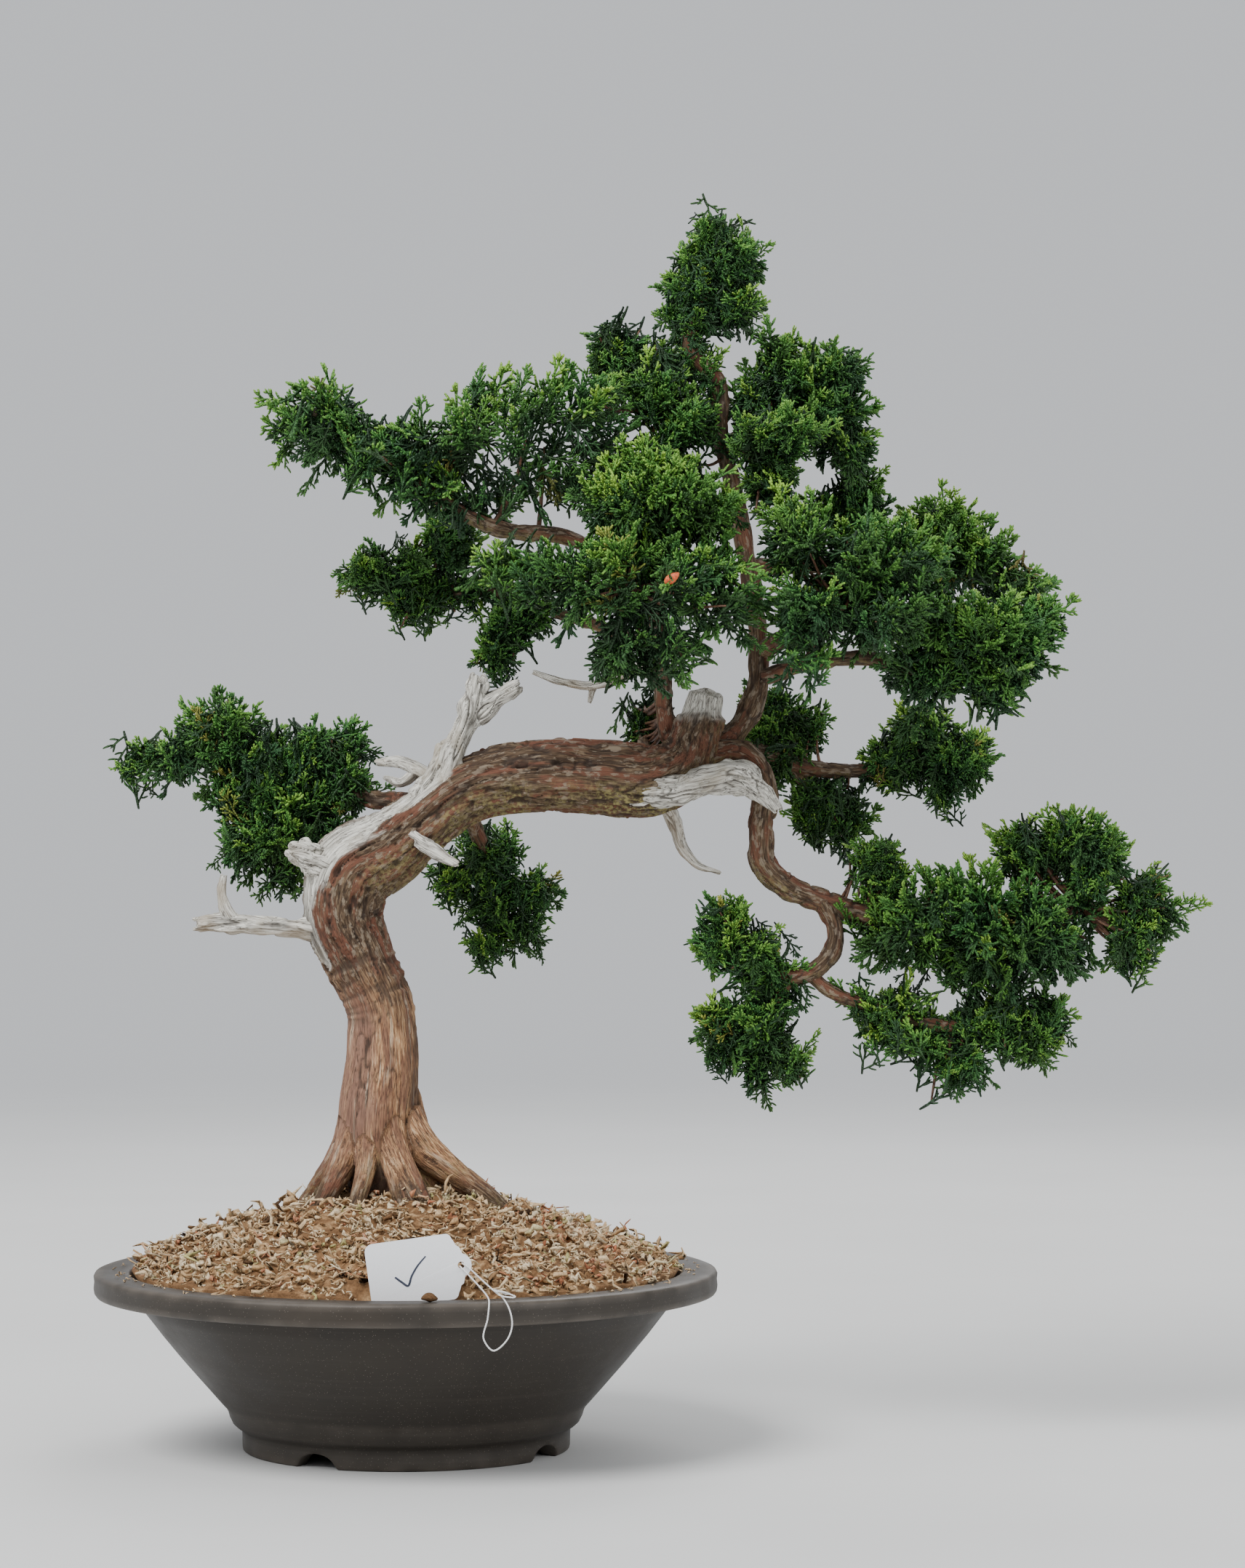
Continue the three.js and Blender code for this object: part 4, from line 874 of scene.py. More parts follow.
BRANCHES = {
    "branch_leader": [
        [[146, 4, 258, 9], [162, 6, 268, 7.4], [172, 7, 279, 6.2], [179, 7, 294, 5.6], [181, 7, 314, 5.2],
         [179, 7, 342, 5], [174, 8, 372, 4.8], [168, 8, 402, 4.6], [161, 8, 432, 4.4], [160, 10, 456, 4.4],
         [148, 11, 470, 4.2], [146, 13, 486, 3.8], [155, 16, 506, 3.2], [156, 18, 524, 2.4]],
    ],
    "branch_left_riser": [
        [[140, 6, 262, 6], [133, 9, 284, 5], [131, 10, 308, 4.8], [126, 0, 334, 4.6], [112, -14, 358, 4.4],
         [84, -20, 374, 4.2], [48, -20, 379, 4], [28, -20, 388, 3.8], [-2, -20, 411, 3.4],
         [-28, -21, 428, 2.8], [-46, -22, 438, 2]],
    ],
    "branch_left_middle": [
        [[128, 12, 318, 4], [102, 30, 330, 3.6], [72, 42, 340, 3.2], [44, 48, 349, 2.8], [10, 51, 348, 2.4],
         [-10, 52, 355, 1.8]],
        [[66, 43, 341, 2.4], [58, 40, 336, 2], [52, 38, 330, 1.5]],
    ],
    "branch_front": [
        [[129, 2, 322, 4.2], [124, -22, 330, 4], [116, -52, 340, 3.6], [112, -78, 346, 2.8]],
        [[118, -46, 338, 2.8], [124, -56, 362, 2.4], [128, -62, 384, 1.8]],
    ],
    "branch_front_right": [
        [[184, 2, 318, 4.4], [194, -24, 324, 4.2], [208, -50, 334, 3.8], [226, -66, 344, 3],
         [244, -68, 350, 2.2]],
    ],
    "branch_far_right": [
        [[185, 0, 304, 4.4], [208, -18, 311, 4.2], [240, -34, 312, 3.8], [268, -40, 304, 3.2],
         [292, -41, 310, 2.2]],
    ],
    "branch_right_back": [
        [[176, 12, 362, 4.2], [202, 32, 362, 3.8], [238, 50, 368, 3.2], [270, 58, 374, 2.6],
         [300, 60, 366, 2]],
        [[232, 48, 367, 2.4], [236, 50, 380, 2], [235, 50, 394, 1.6]],
    ],
    "branch_upper_right": [
        [[165, 9, 426, 3.8], [184, 14, 432, 3.4], [206, 18, 440, 2.8], [224, 20, 452, 2]],
        [[182, 14, 432, 2.6], [186, 0, 428, 2.4], [188, -14, 419, 1.8]],
    ],
    "branch_upper_front": [[[157, 6, 440, 3.4], [144, 0, 438, 2.8], [130, -3, 442, 2]]],
    "branch_apex_left": [
        [[150, 12, 464, 2.8], [136, 15, 467, 2.6], [119, 18, 463, 2.2], [106, 20, 469, 1.6]],
    ],
    "branch_back_right": [
        [[148, 10, 256, 6.4], [164, 28, 264, 5.6], [180, 46, 266, 5], [212, 60, 257, 4.4],
         [240, 67, 256, 3.4], [268, 70, 262, 2.4]],
        [[198, 55, 261, 3.2], [208, 62, 248, 2.8], [220, 67, 238, 2]],
    ],
    "branch_left_back": [
        [[2, 10, 234, 6.5], [-4, 34, 240, 5.2], [-22, 54, 242, 4.8], [-38, 62, 252, 4.6],
         [-58, 66, 257, 4.2], [-78, 68, 260, 3.6], [-108, 69, 268, 2.2]],
        [[-40, 62, 252, 3.4], [-54, 65, 240, 2.8], [-68, 66, 226, 2]],
    ],
    "branch_behind_trunk": [[[30, 12, 242, 4.8], [34, 36, 226, 4], [40, 56, 210, 3.2], [46, 68, 194, 2.2]]],
    "branch_cascade": [
        [[146, 1, 255, 9], [160, -1, 264, 7.8], [171, -2, 265, 7.2], [181, -2, 257, 6.8],
         [184, -2, 244, 6.5], [182, -2, 224, 6.3], [183, -2, 209, 6.3], [193, -2, 198, 6.3],
         [210, -2, 190, 6.1], [232, -2, 183, 5.6], [262, -4, 172, 5], [300, -4, 164, 4.4],
         [326, -3, 170, 3.4], [346, -2, 186, 2.4]],
        [[214, -3, 188, 5.2], [220, -5, 176, 4.9], [219, -6, 164, 4.8], [207, -7, 152, 4.4],
         [192, -8, 150, 3.4], [178, -9, 160, 2.2]],
        [[206, -6, 152, 3.8], [214, -6, 145, 3.8], [240, -6, 134, 3.6], [277, -5, 125, 3],
         [304, -4, 126, 2]],
        [[198, -7, 150, 3], [188, -5, 136, 2.6], [178, -3, 124, 1.8]],
    ],
}


class Skeleton:
    """Centre lines of limbs, to find a point's place along and across the grain."""

    def __init__(self, limbs, step=2.0):
        rows = []
        for index, limb in enumerate(limbs):
            line, along = smooth_line(limb, step)
            tangent, side, up = frames(line[:, :3])
            start = np.full(len(line), 173.0 * index)
            rows.append(np.column_stack([line, along, tangent, side, up, start]))
        self.rows = np.vstack(rows)

    def nearest(self, points):
        """For each point: the grain coordinates, the limb's radius and the offset from its middle."""
        best = np.empty(len(points), int)
        places, radius = self.rows[:, :3], self.rows[:, 3]
        for low in range(0, len(points), 20000):
            part = points[low:low + 20000]
            gap = np.linalg.norm(part[:, None] - places[None], axis=2) - radius[None]
            best[low:low + 20000] = gap.argmin(axis=1)
        row = self.rows[best]
        offset = points - row[:, :3]
        along = row[:, 4] + np.sum(offset * row[:, 5:8], axis=1)
        across = np.sum(offset * row[:, 8:11], axis=1)
        over = np.sum(offset * row[:, 11:14], axis=1)
        return np.column_stack([across, over, along + row[:, 14]]), row[:, 3], row[:, :3]


def streaks(grain, size, stretch, seed, octaves=1):
    """Noise drawn out along the grain."""
    return noise(grain * [1, 1, 1 / stretch], size, seed, octaves)


def wobble(along, size, seed):
    """Noise along a line."""
    return noise(along[:, None] * [1, 0, 0], size, seed)


def crevice(value, width):
    """1 where a noise crosses zero, falling to 0 at a width."""
    return 1 - smoothstep(0, width, np.abs(value))


def distance_to(points, route):
    """How far points are from a route, as a share of its half width there."""
    line, _ = smooth_line(route, 1.5)
    gap = np.linalg.norm(points[:, None] - line[None, :, :3], axis=2)
    best = gap.argmin(axis=1)
    return gap[np.arange(len(points)), best] / line[best, 3]


# The bare strip from the tall dead fork round the outside of the bend: [x, y, height, half width].
BARE_STRIP = [
    [10, -9, 256, 14], [-6, -10, 245, 14], [-21, -11, 233, 13.5], [-35, -12, 221, 13], [-46, -11, 209, 12],
    [-53, -8, 196, 11], [-54, -7, 183, 9.5], [-49, -10, 170, 6], [-42, -13, 156, 3.5], [-34, -15, 142, 2],
]


def trunk_bare(points, grain):
    """Where the bark is gone: the strip round the bend, and the cut end of the level part."""
    strip = distance_to(points, BARE_STRIP) + 0.28 * streaks(grain, 4, 6, 43, 2)
    stub = smoothstep(280, 288, points[:, 2] + 3 * noise(points, 5, 46)) * (points[:, 0] > 120)
    return np.maximum(smoothstep(1.1, 0.85, strip), stub)


def trunk_moss(points, normals, height, bare):
    """Green algae under the level part, and a little about the foot."""
    under = smoothstep(0.15, -0.6, normals[:, 2]) * smoothstep(180, 210, height)
    mossy = np.clip(under * (0.75 + 0.7 * noise(points, 12, 61)), 0, 1) * (1 - bare)
    foot = smoothstep(74, 52, height) * np.clip(0.15 + noise(points, 12, 62), 0, 1)
    return np.maximum(mossy, 0.6 * foot)


def make_trunk():
    """Flowing bare-looking wood below, wrinkled at the bend, flaking bark above, with a bare strip."""
    limbs = [TRUNK, *ROOTS, SHORT_TWIG]
    parts = [tube(smooth_line(limb, 3)[0], 40) for limb in limbs]
    points, quads, normals = fused(parts, 1.05, 6)
    grain, _, middle = Skeleton(limbs).nearest(points)
    height = points[:, 2]
    lower = smoothstep(160, 114, height + 16 * streaks(grain, 5, 9, 68))
    lower = lower * smoothstep(36, 62, height + 6 * noise(points, 18, 41))
    wrinkled = smoothstep(118, 132, height) * smoothstep(172, 158, height)
    rough = smoothstep(128, 176, height + 5 * noise(points, 14, 42))
    bare = trunk_bare(points, grain)
    flutes = 2.1 * streaks(grain, 13, 12, 51) + 1.1 * streaks(grain, 5.5, 14, 52)
    relief = flutes * (0.35 + 0.65 * smoothstep(135, 100, height)) * smoothstep(44, 70, height)
    fibre = streaks(grain, 2.4, 9, 53, 2)
    crack = crevice(streaks(grain, 5.2, 11, 54) + 0.22 * streaks(grain, 2, 3, 55), 0.11)
    fine_crack = crevice(streaks(grain, 2.6, 13, 56), 0.13)
    plates = smoothstep(-0.05, 0.2, streaks(grain, 5.5, 3.4, 57, 3))
    holes = smoothstep(0.52, 0.72, noise(grain * [1, 1, 0.7], 3.6, 63)) * rough
    skin = fibre * (0.35 + 0.35 * rough) + plates * (0.25 + 1.0 * rough)
    skin -= crack * (0.6 + 1.0 * rough) + fine_crack * (0.4 + 0.45 * rough) + holes * 1.2
    wrinkles = noise(grain * [0.16, 0.16, 1], 2.3, 58)
    skin += wrinkled * 0.8 * wrinkles
    check = streaks(grain, 4.5, 14, 60)
    silver = 0.55 * streaks(grain, 2.2, 16, 59, 2) - 0.9 * crevice(check, 0.1)
    relief += skin * (1 - bare) + (silver - 0.9) * bare
    relief += 1.0 * smoothstep(0.05, 0.35, bare) * smoothstep(0.8, 0.4, bare)
    points = points + normals * relief[:, None]
    # deep darkens the colour: painted shade in the cracks, holes, hollows between the flutes, checks in the
    # bare strip and the wrinkled band, most in its troughs.
    deep = crack * (0.75 + 0.2 * rough) + fine_crack * (0.5 + 0.1 * rough) + 0.8 * holes
    deep = np.clip(deep, 0, 1) * (1 - bare)
    deep = np.maximum(deep, smoothstep(-1.2, -3.4, flutes) * (1 - rough) * 0.7)
    deep = np.maximum(deep, bare * crevice(check, 0.07) * 0.6)
    edge = smoothstep(0.08, 0.4, bare) * smoothstep(0.95, 0.5, bare)
    deep = np.maximum(deep, 0.7 * edge * smoothstep(-0.2, 0.3, streaks(grain, 2.2, 14, 64)))
    deep = np.maximum(deep, wrinkled * (0.26 + 0.4 * smoothstep(0.0, -0.5, wrinkles)) * (1 - bare))
    # The bare strip goes grey and streaked lower down; the lower trunk is darker at its right edge.
    streaky = smoothstep(-0.3, 0.3, streaks(grain, 2.4, 15, 65))
    greyed = smoothstep(204, 178, height) * (0.30 + 0.45 * streaky)
    deep = np.maximum(deep, bare * greyed * (height < 215))
    side = points[:, 0] - middle[:, 0] + 2.5 * noise(points, 9, 66)
    deep = np.maximum(deep, 0.75 * lower * smoothstep(14.5, 17.5, side) * smoothstep(70, 84, height))
    ruddy = smoothstep(1, -9, side + 3 * streaks(grain, 6, 8, 67)) * lower
    # Painted shade darkens the gap between the roots, under the trunk's middle.
    gap = np.linalg.norm(points[:, :2] - TRUNK[0][:2], axis=1)
    deep = np.maximum(deep, 0.85 * smoothstep(24, 19, gap) * smoothstep(62, 52, height))
    mossy = trunk_moss(points, normals, height, bare)
    layers = {"grain": grain, "lower": lower * 0.95, "bare": bare, "deep": deep, "mossy": mossy,
              "ruddy": ruddy}
    mesh = build_mesh("trunk_bark", placed(points), quads, layers=layers)
    piece("trunk_bark", mesh, BARK, ["trunk_and_roots"])


# The pieces of deadwood that keep some of the bark's brown.
BROWNISH = ("jin_upper_twig", "jin_lower_twig", "jin_left_fork")


def make_jin(name, limbs, seed):
    """Bare dead wood: furrowed along the grain, with a splintered tip."""
    thickest = max(row[3] for limb in limbs for row in limb)
    parts = []
    for limb in limbs:
        line, along = smooth_line(limb, 1.5)
        tangent, side, up = frames(line[:, :3])
        line[:, :3] += wobble(along, 14, seed)[:, None] * side * line[:, 3:4] * 0.25

        def ribs(angle):
            turn = angle[None, :] + 0.05 * along[:, None]
            return 0.94 + 0.16 * np.cos(2 * turn + seed) + 0.09 * np.cos(5 * turn + 2 * seed)

        parts.append(tube(line, 24, ribs))
        tip, out, thick = line[-1, :3], tangent[-1], line[-1, 3]
        for k in range(7):
            turn = 0.9 * k + seed
            edge = tip + 0.68 * thick * (side[-1] * math.cos(turn) + up[-1] * math.sin(turn)) - out * thick
            reach = thick * (1.0 + 0.9 * abs(math.sin(2.3 * k + seed)))
            end = edge + out * reach + 0.2 * thick * up[-1] * math.sin(turn)
            splinter = [[*edge, 0.42 * thick], [*end, 0.2 * thick + 0.15]]
            parts.append(tube(smooth_line(splinter, 0.8)[0], 8))
    points, quads, normals = fused(parts, 0.42 if thickest < 6 else 0.6, 2)
    grain, radius, _ = Skeleton(limbs, 1.0).nearest(points)
    size = np.clip(radius / 5, 0.35, 1.5)
    ridges = streaks(grain, 3.2, 9, seed + 1) * 1.3 + streaks(grain, 1.5, 12, seed + 2) * 0.5
    crack = crevice(streaks(grain, 3.6, 12, seed + 3), 0.13)
    pits = crevice(noise(grain * [1, 1, 0.4], 4, seed + 4) - 0.55, 0.16)
    lumps = noise(points, 5.5, seed + 6) * (2.6 if name == "jin_knob" else 1.3)
    points = points + normals * ((ridges + lumps - 1.6 * crack - 0.7 * pits) * 0.72 * size)[:, None]
    # deep is painted shade for the cracks and pits.
    deep = np.clip(0.9 * crack + 0.4 * pits, 0, 1)
    rusty = np.zeros(len(points))
    if name in BROWNISH:
        under = smoothstep(0.2, -0.6, normals[:, 2])
        rusty = np.clip(0.45 * under + 0.3 * noise(points, 9, seed + 5), 0, 0.7)
    layers = {"grain": grain, "deep": deep, "rusty": rusty}
    mesh = build_mesh(name + "_wood", placed(points), quads, layers=layers)
    piece(name + "_wood", mesh, DEADWOOD, [name])


def make_branch(name, limbs, seed):
    """A live branch and its forks in plated bark."""
    parts = []
    for limb in limbs:
        line, along = smooth_line(limb, 2)
        line[:, 3] *= 1 + 0.12 * wobble(along, 9, seed)
        parts.append(tube(line, 16))
    points, quads, normals = fused(parts, 0.85, 3)
    grain, radius, _ = Skeleton(limbs).nearest(points)
    size = np.clip(radius / 6, 0.35, 1.2)
    crack = crevice(streaks(grain, 4, 3.2, seed + 1), 0.18)
    plates = smoothstep(-0.2, 0.3, streaks(grain, 4.6, 2.2, seed + 2, 2))
    skin = 0.5 * streaks(grain, 1.8, 5, seed + 3) + 1.0 * plates - 1.1 * crack - 0.3
    points = points + normals * (skin * size * 0.9)[:, None]
    mossy = np.clip(0.5 * smoothstep(0.2, -0.5, normals[:, 2]) * (0.4 + noise(points, 11, seed + 4)), 0, 1)
    nothing = np.zeros(len(points))
    # deep is painted shade in the cracks between the plates.
    layers = {"grain": grain, "lower": nothing, "bare": nothing, "deep": crack * 0.8, "mossy": mossy,
              "ruddy": nothing}
    mesh = build_mesh(name + "_bark", placed(points), quads, layers=layers)
    piece(name + "_bark", mesh, BARK, [name])


# ---------------------------------------------------------------- foliage


# A shoot's three rings: shares of its length and of its radius.
SHOOT_RINGS, SHOOT_PROFILE = (0.04, 0.5, 0.86), (0.72, 1.0, 0.82)
SHOOT_FACES = [[0, 2, 1], [0, 3, 2], [0, 1, 3]] + sleeve(3, 1) + [[7, 8, 10], [8, 9, 10], [9, 7, 10]]
SHOOT_ALONG = np.concatenate([[0], np.repeat(SHOOT_RINGS, 3), [1.0]])


def shoot(start, direction, length, radius, bend):
    """The points of one scale-leaf shoot: a blunt little finger of three sides."""
    direction = unit(direction)
    side = unit(np.cross(direction, (0.31, 0.22, 0.93)))
    up = np.cross(direction, side)
    points = [start]
    for share, wide in zip(SHOOT_RINGS, SHOOT_PROFILE):
        middle = start + direction * length * share + bend * length * share**2
        for k in range(3):
            a = 2 * math.pi * k / 3 + share
            points.append(middle + radius * wide * (side * math.cos(a) + up * math.sin(a)))
    return np.array([*points, start + direction * length + bend * length])


def spray_template(seed):
    """A fan of shoots about an axis along X, in millimetres: points, faces, tone and distance."""
    rng = np.random.default_rng(seed)
    length = rng.uniform(17, 25)
    sag = rng.uniform(-0.12, 0.10)
    steps = rng.integers(7, 9)
    points, tones, distances = [], [], []

    def add(start, direction, size, radius, low, high, bend):
        points.append(shoot(start, direction, size, radius, bend))
        tones.append(low + (high - low) * SHOOT_ALONG)
        distances.append(SHOOT_ALONG * size)

    def on_axis(t):
        return np.array([length * t, 1.6 * math.sin(3 * t + seed), sag * length * t * t])

    for k in range(3):
        a, b = on_axis(k / 3), on_axis((k + 1.12) / 3)
        add(a, b - a, np.linalg.norm(b - a), 0.85 - 0.1 * k, 0.12 + 0.22 * k, 0.34 + 0.24 * k, np.zeros(3))
    for k in range(steps):
        t = 0.12 + 0.84 * k / (steps - 1)
        side = 1 if k % 2 else -1
        size = (10.0 - 5.2 * t) * rng.uniform(0.75, 1.2)
        angle = side * math.radians(rng.uniform(34, 52) - 12 * t)
        tilt = rng.uniform(-0.45, 0.55)
        direction = np.array([math.cos(angle), math.sin(angle), tilt])
        start, bend = on_axis(t), np.array([0.10, 0, 0.06])
        base = 0.2 + 0.42 * t
        add(start, direction, size, 0.68, base, 0.72 + 0.25 * t, bend)
        for j in range(3 if size > 6.5 else 2 if size > 4 else 1):
            share = (0.36, 0.62, 0.8)[j]
            place = start + unit(direction) * size * share
            turn = angle + (0.72 if (j + k) % 2 else -0.72) * rng.uniform(0.7, 1.25)
            out = np.array([math.cos(turn), math.sin(turn), tilt + rng.uniform(-0.5, 0.6)])
            add(place, out, size * rng.uniform(0.40, 0.64), 0.64, base + 0.1, 0.86 + 0.14 * t, bend)
    for turn in (-0.5, 0.1, 0.6):
        direction = np.array([math.cos(turn), math.sin(turn), rng.uniform(-0.2, 0.3)])
        add(on_axis(1.0) - [1.5, 0, 0], direction, 4.8, 0.66, 0.6, 1.0, np.zeros(3))
    faces = copies(SHOOT_FACES, len(points), len(SHOOT_ALONG))
    return np.vstack(points), faces, np.concatenate(tones), np.concatenate(distances)


TEMPLATES = [spray_template(seed) for seed in range(14)]


def pad_surface(name, count_for, rng):
    """Random places and outward directions on a CAD pad's surface, as many as suit its area."""
    mesh = frame["nodes"][name].data
    mesh.calc_loop_triangles()
    places = np.empty(len(mesh.vertices) * 3, np.float32)
    mesh.vertices.foreach_get("co", places)
    places = measured(places.reshape(-1, 3))
    corners = np.empty(len(mesh.loop_triangles) * 3, np.int32)
    mesh.loop_triangles.foreach_get("vertices", corners)
    a, b, c = places[corners.reshape(-1, 3)].transpose(1, 0, 2)
    cross = np.cross(b - a, c - a)
    area = np.linalg.norm(cross, axis=1)
    count = count_for(area.sum() / 2)
    chosen = rng.choice(len(area), count, p=area / area.sum())
    u, v = rng.uniform(size=(2, count, 1))
    flip = u + v > 1
    u, v = np.where(flip, 1 - u, u), np.where(flip, 1 - v, v)
    where = a[chosen] + u * (b[chosen] - a[chosen]) + v * (c[chosen] - a[chosen])
    return where, unit(cross[chosen]), places


def sprays_at(base, direction, roll, scale, pick):
    """Copies of the templates: points, faces, tone, distance and the copy that each point is of."""
    out, offset = [], 0
    for index, (points, faces, tone, distance) in enumerate(TEMPLATES):
        mine = np.flatnonzero(pick == index)
        if len(mine) == 0:
            continue
        x = unit(direction[mine])
        y = unit(np.cross(np.array([0, 0, 1.0]) + 0.01, x))
        z = np.cross(x, y)
        c, s = np.cos(roll[mine])[:, None], np.sin(roll[mine])[:, None]
        y, z = c * y + s * z, c * z - s * y
        axes = np.stack([x, y, z], axis=1) * scale[mine, None, None]
        moved = np.einsum("pk,nkj->npj", points, axes) + base[mine, None]
        n, each = len(mine), len(points)
        triangles = copies(faces, n, each, offset)
        out.append((moved.reshape(-1, 3), triangles, np.tile(tone, n), np.tile(distance, n),
                    np.repeat(mine, each)))
        offset += n * each
    return [np.concatenate(column) for column in zip(*out)]


ALL_LIMBS = Skeleton([limb for limbs in BRANCHES.values() for limb in limbs], 3.0)


def twigs_to(ends, rng):
    """Thin brown twigs from the nearest branch to places inside a pad."""
    places = ALL_LIMBS.rows[:, :3]
    parts = []
    for end in ends:
        gap = np.linalg.norm(places - end, axis=1)
        start = places[gap.argmin()]
        if gap.min() < 4:
            continue
        middle = (start + end) / 2 + rng.normal(0, 0.07, 3) * gap.min() - [0, 0, 0.08 * gap.min()]
        thick = min(1.5, 0.55 + 0.02 * gap.min())
        line, _ = smooth_line([[*start, thick], [*middle, thick * 0.75], [*end, 0.5]], 4)
        parts.append(tube(line, 5))
    return parts


def branch_places(corners, count, rng):
    """Places a little way off the branches that run through a pad, and the ways out from them."""
    rows = ALL_LIMBS.rows[:, :3]
    low, high = corners.min(axis=0), corners.max(axis=0)
    inside = np.flatnonzero(((rows > low - 3) & (rows < high + 3)).all(axis=1))
    if len(inside) == 0:
        return np.zeros((0, 3)), np.zeros((0, 3))
    out = unit(rng.normal(size=(count, 3)) * [1, 1, 0.8])
    return rows[rng.choice(inside, count)] + out * rng.uniform(10, 16, (count, 1)), out


def bake_map(layers):
    """Each point's place on the bake map, where like colours lie together."""
    order = np.arange(len(layers["tone"]))
    third = order % 3
    wooden = layers["wood"] > 0
    band = 0.06 + 0.82 * layers["hue"] + 0.012 * third
    band = np.where(layers["dry"] > 0, 0.93 + 0.02 * third, band)
    band = np.where(wooden, 0.01 + 0.015 * third, band)
    shade = np.where(wooden, (order % 97) / 97, layers["tone"])
    return np.column_stack([0.02 + 0.96 * shade, band])


def make_pad(name, seed):
    """Fans of scale-leaf shoots over a CAD pad's surface and along its branches, on thin twigs."""
    rng = np.random.default_rng(seed)
    share = 1.0
    surface, normal, corners = pad_surface(name, lambda area: int(min(300, 36 + area / 41) * share), rng)
    tufted = noise(surface, 13, 73) > -0.55 + 0.40 * smoothstep(0.1, -0.6, normal[:, 2])
    surface, normal = surface[tufted], normal[tufted]
    extra, outward = branch_places(corners, int((28 + 0.2 * len(surface)) * share), rng)
    surface, normal = np.vstack([surface, extra]), np.vstack([normal, outward])
    count = len(surface)
    spread = unit(surface - corners.mean(axis=0))
    up = normal[:, 2:3]
    # The fans lie along the pad's surface, spread outwards, and droop beneath.
    drift = rng.normal(size=(count, 3))
    drift = drift - normal * np.sum(drift * normal, axis=1, keepdims=True)
    lean = np.array([0, 0, 1.0]) * np.where(up > -0.25, 0.38, -0.55)
    direction = unit(0.42 * normal + 0.62 * spread * [1, 1, 0.4] + lean + 0.42 * drift)
    slim = smoothstep(30, 18, min(np.ptp(corners[:, 0]), np.ptp(corners[:, 1])) / 2)
    scale = rng.uniform(0.85, 1.35, count) * (1 - 0.16 * slim)
    inner = rng.uniform(size=count) < 0.24
    sunk = np.where(inner, rng.uniform(-12, -5, count), rng.uniform(-5, 3, count))
    # Uneven tufts, and a few runners that reach out past the rest.
    runner = rng.uniform(size=count) < 0.08
    sunk += 6 * noise(surface, 18, 72) + 4 * noise(surface, 34, 74) - 4.5 * slim
    reach = rng.uniform(-3, 4, count) + np.where(runner, rng.uniform(3, 9, count), 0.0)
    base = surface + normal * sunk[:, None] + direction * (reach - 19 * scale)[:, None]
    across = unit(np.cross(np.array([0, 0, 1.0]) + 0.01, direction))
    over = np.cross(direction, across)
    roll = np.arctan2(-np.sum(normal * across, axis=1), np.sum(normal * over, axis=1))
    roll += rng.normal(0, 0.5, count)
    pick = rng.integers(0, len(TEMPLATES), count)
    points, faces, tone, distance, copy = sprays_at(base, direction, roll, scale, pick)
    # Tops are lighter, partly new growth and partly painted light; undersides and inner sprays are darker,
    # as painted shade.
    light = 0.48 + 0.48 * smoothstep(-0.5, 0.6, normal[:, 2]) + rng.normal(0, 0.10, count)
    light = np.where(inner, light * 0.55, light) + 0.16 * runner
    hue = np.clip(rng.beta(1.5, 2.8, count) + 0.4 * noise(surface, 30, 71) + 0.3 * runner, 0, 1)
    dry = (rng.uniform(size=count) < 0.008) * rng.uniform(0.4, 0.9, count)
    ends = (base + direction * 7)[rng.permutation(count)[:int(20 * share) + 4]]
    stems = twigs_to(ends, rng)
    layers = {"tone": np.clip(tone * light[copy], 0, 1), "hue": hue[copy], "dry": dry[copy],
              "along": distance, "wood": np.zeros(len(points))}
    quads = NO_FACES[4]
    if stems:
        p, quads, t = merged(stems)
        quads = quads + len(points)
        faces = np.vstack([faces, t + len(points)])
        points = np.vstack([points, p])
        for key in layers:
            layers[key] = np.concatenate([layers[key], np.full(len(p), 1.0 if key == "wood" else 0.0)])
    mesh = build_mesh(name + "_sprays", placed(points), quads, faces, layers, bake_map(layers))
    piece(name + "_sprays", mesh, FOLIAGE, [name])


# ---------------------------------------------------------------- bud


def make_bud():
    """One small orange cone-like bud on the front pad."""
    start, direction = np.array([132.0, -119, 347]), unit(np.array([0.75, -0.30, 0.55]))
    line = np.array([[*(start + direction * s), r] for s, r in
                     ((0, 1.0), (1.0, 1.8), (3, 2.2), (5.4, 1.9), (7.4, 1.1), (8.4, 0.4))])
    smooth, along = smooth_line(line, 0.5)

    def scales(angle):
        rows = along[:, None] / 1.7
        return 0.9 + 0.22 * np.abs(np.sin(math.pi * rows + 2.0 * angle[None, :]))

    points, quads, triangles = tube(smooth, 20, scales)
    mesh = build_mesh("orange_bud_scales", placed(points), quads, triangles)
    piece("orange_bud_scales", mesh, SCALES)


# ---------------------------------------------------------------- assembly

CARRIED = {"soil": SOIL, "drain_screen": PLASTIC, "screen_clip": WIRE, "anchor_wire": WIRE}


def dress_carried():
    """Materials for the CAD pieces that show as they are."""
    for name, look in CARRIED.items():
        node = frame["nodes"][name]
        node.data.materials.clear()
        node.data.materials.append(look)


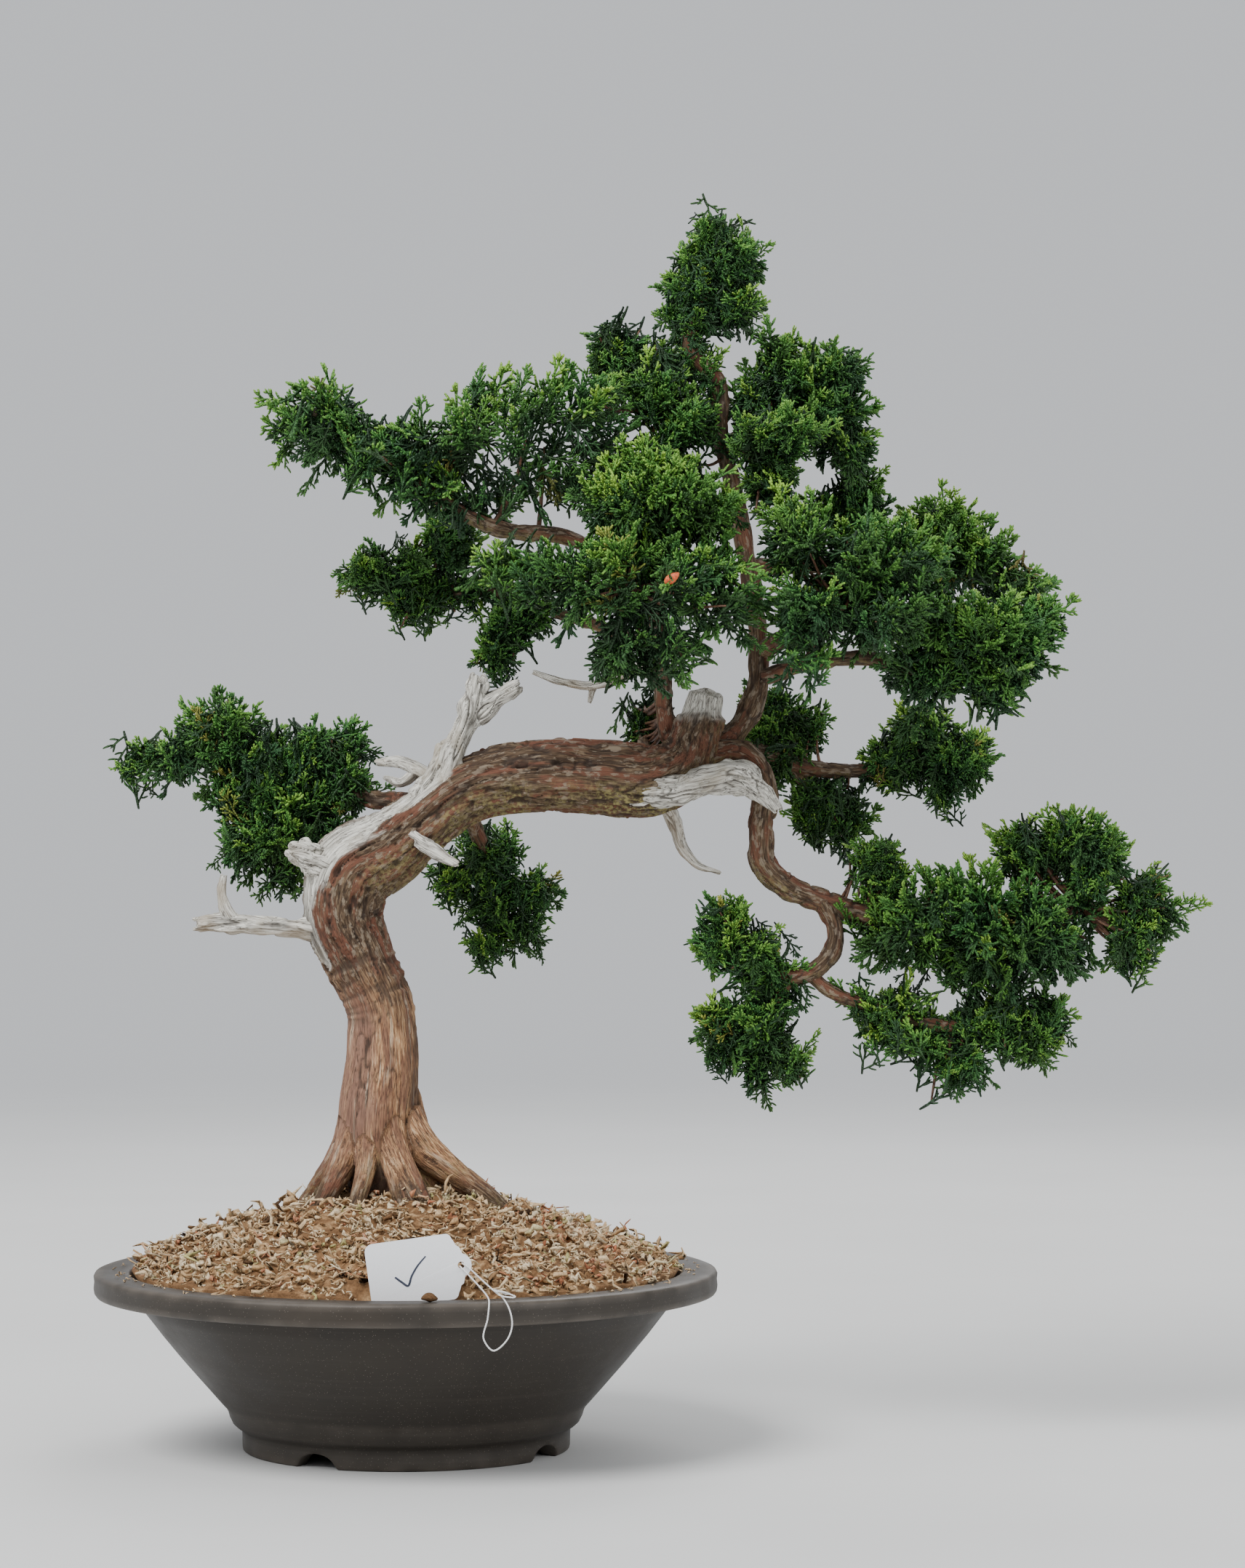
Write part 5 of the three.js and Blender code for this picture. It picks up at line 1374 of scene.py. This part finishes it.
def make_floor():
    """A pale floor that fades into the pale backdrop at its far edge."""
    look = Look("floor", 0.9, Specular_IOR_Level=0.1)
    radius = look.add("VectorMath", 1, {0: look.place()}, operation="LENGTH")
    mottle = look.noise(look.place(), 3, 4)
    colour = look.ramp(mottle, (0.3, (0.70, 0.70, 0.69)), (0.7, (0.74, 0.74, 0.73)))
    look.feed(look.shader.inputs["Alpha"], look.span(radius, 1.3, 3.4, 1, 0))
    look.done(colour)
    rim = arc(0, 0, 3.6, 0, 2 * math.pi, 97)[:-1]
    mesh = bpy.data.meshes.new("floor")
    mesh.from_pydata([(x, y, 0) for x, y in rim], [], [list(range(len(rim)))])
    mesh.materials.append(look.material)
    put("floor", mesh)


# Each lamp's place, size across and power; they all face the middle of the tree.
LAMPS = {
    "key": [(-1.3, -1.6, 2.5), 1.7, 98],
    "fill": [(1.9, -1.6, 1.1), 1.8, 20],
    "back": [(0.4, 2.0, 1.9), 1.6, 26],
}
LAMP_TARGET = np.array([0, 0, 0.3])


def make_lights():
    """A pale sky and three soft lamps."""
    world = bpy.data.worlds.new("sky")
    world.use_nodes = True
    sky = world.node_tree.nodes["Background"]
    sky.inputs[0].default_value = (0.80, 0.82, 0.85, 1)
    sky.inputs[1].default_value = 0.85
    bpy.context.scene.world = world
    for name, (place, size, power) in LAMPS.items():
        light = bpy.data.lights.new(name, "AREA")
        light.shape, light.size, light.energy = "DISK", size, power
        lamp = put(name, light)
        lamp.location = place
        x, y, z = LAMP_TARGET - place
        lamp.rotation_euler = (math.atan2(math.hypot(x, y), -z), 0, math.atan2(-x, y))


make_pot()
make_moss()
make_tag()
make_trunk()
for order, (name, limbs) in enumerate(JINS.items()):
    make_jin(name, limbs, 100 + 10 * order)
for order, (name, limbs) in enumerate(BRANCHES.items()):
    make_branch(name, limbs, 300 + 10 * order)
for order, name in enumerate(sorted(name for name in frame["nodes"] if name.startswith("pad_"))):
    make_pad(name, 900 + order)
make_bud()
dress_carried()
make_floor()
make_lights()
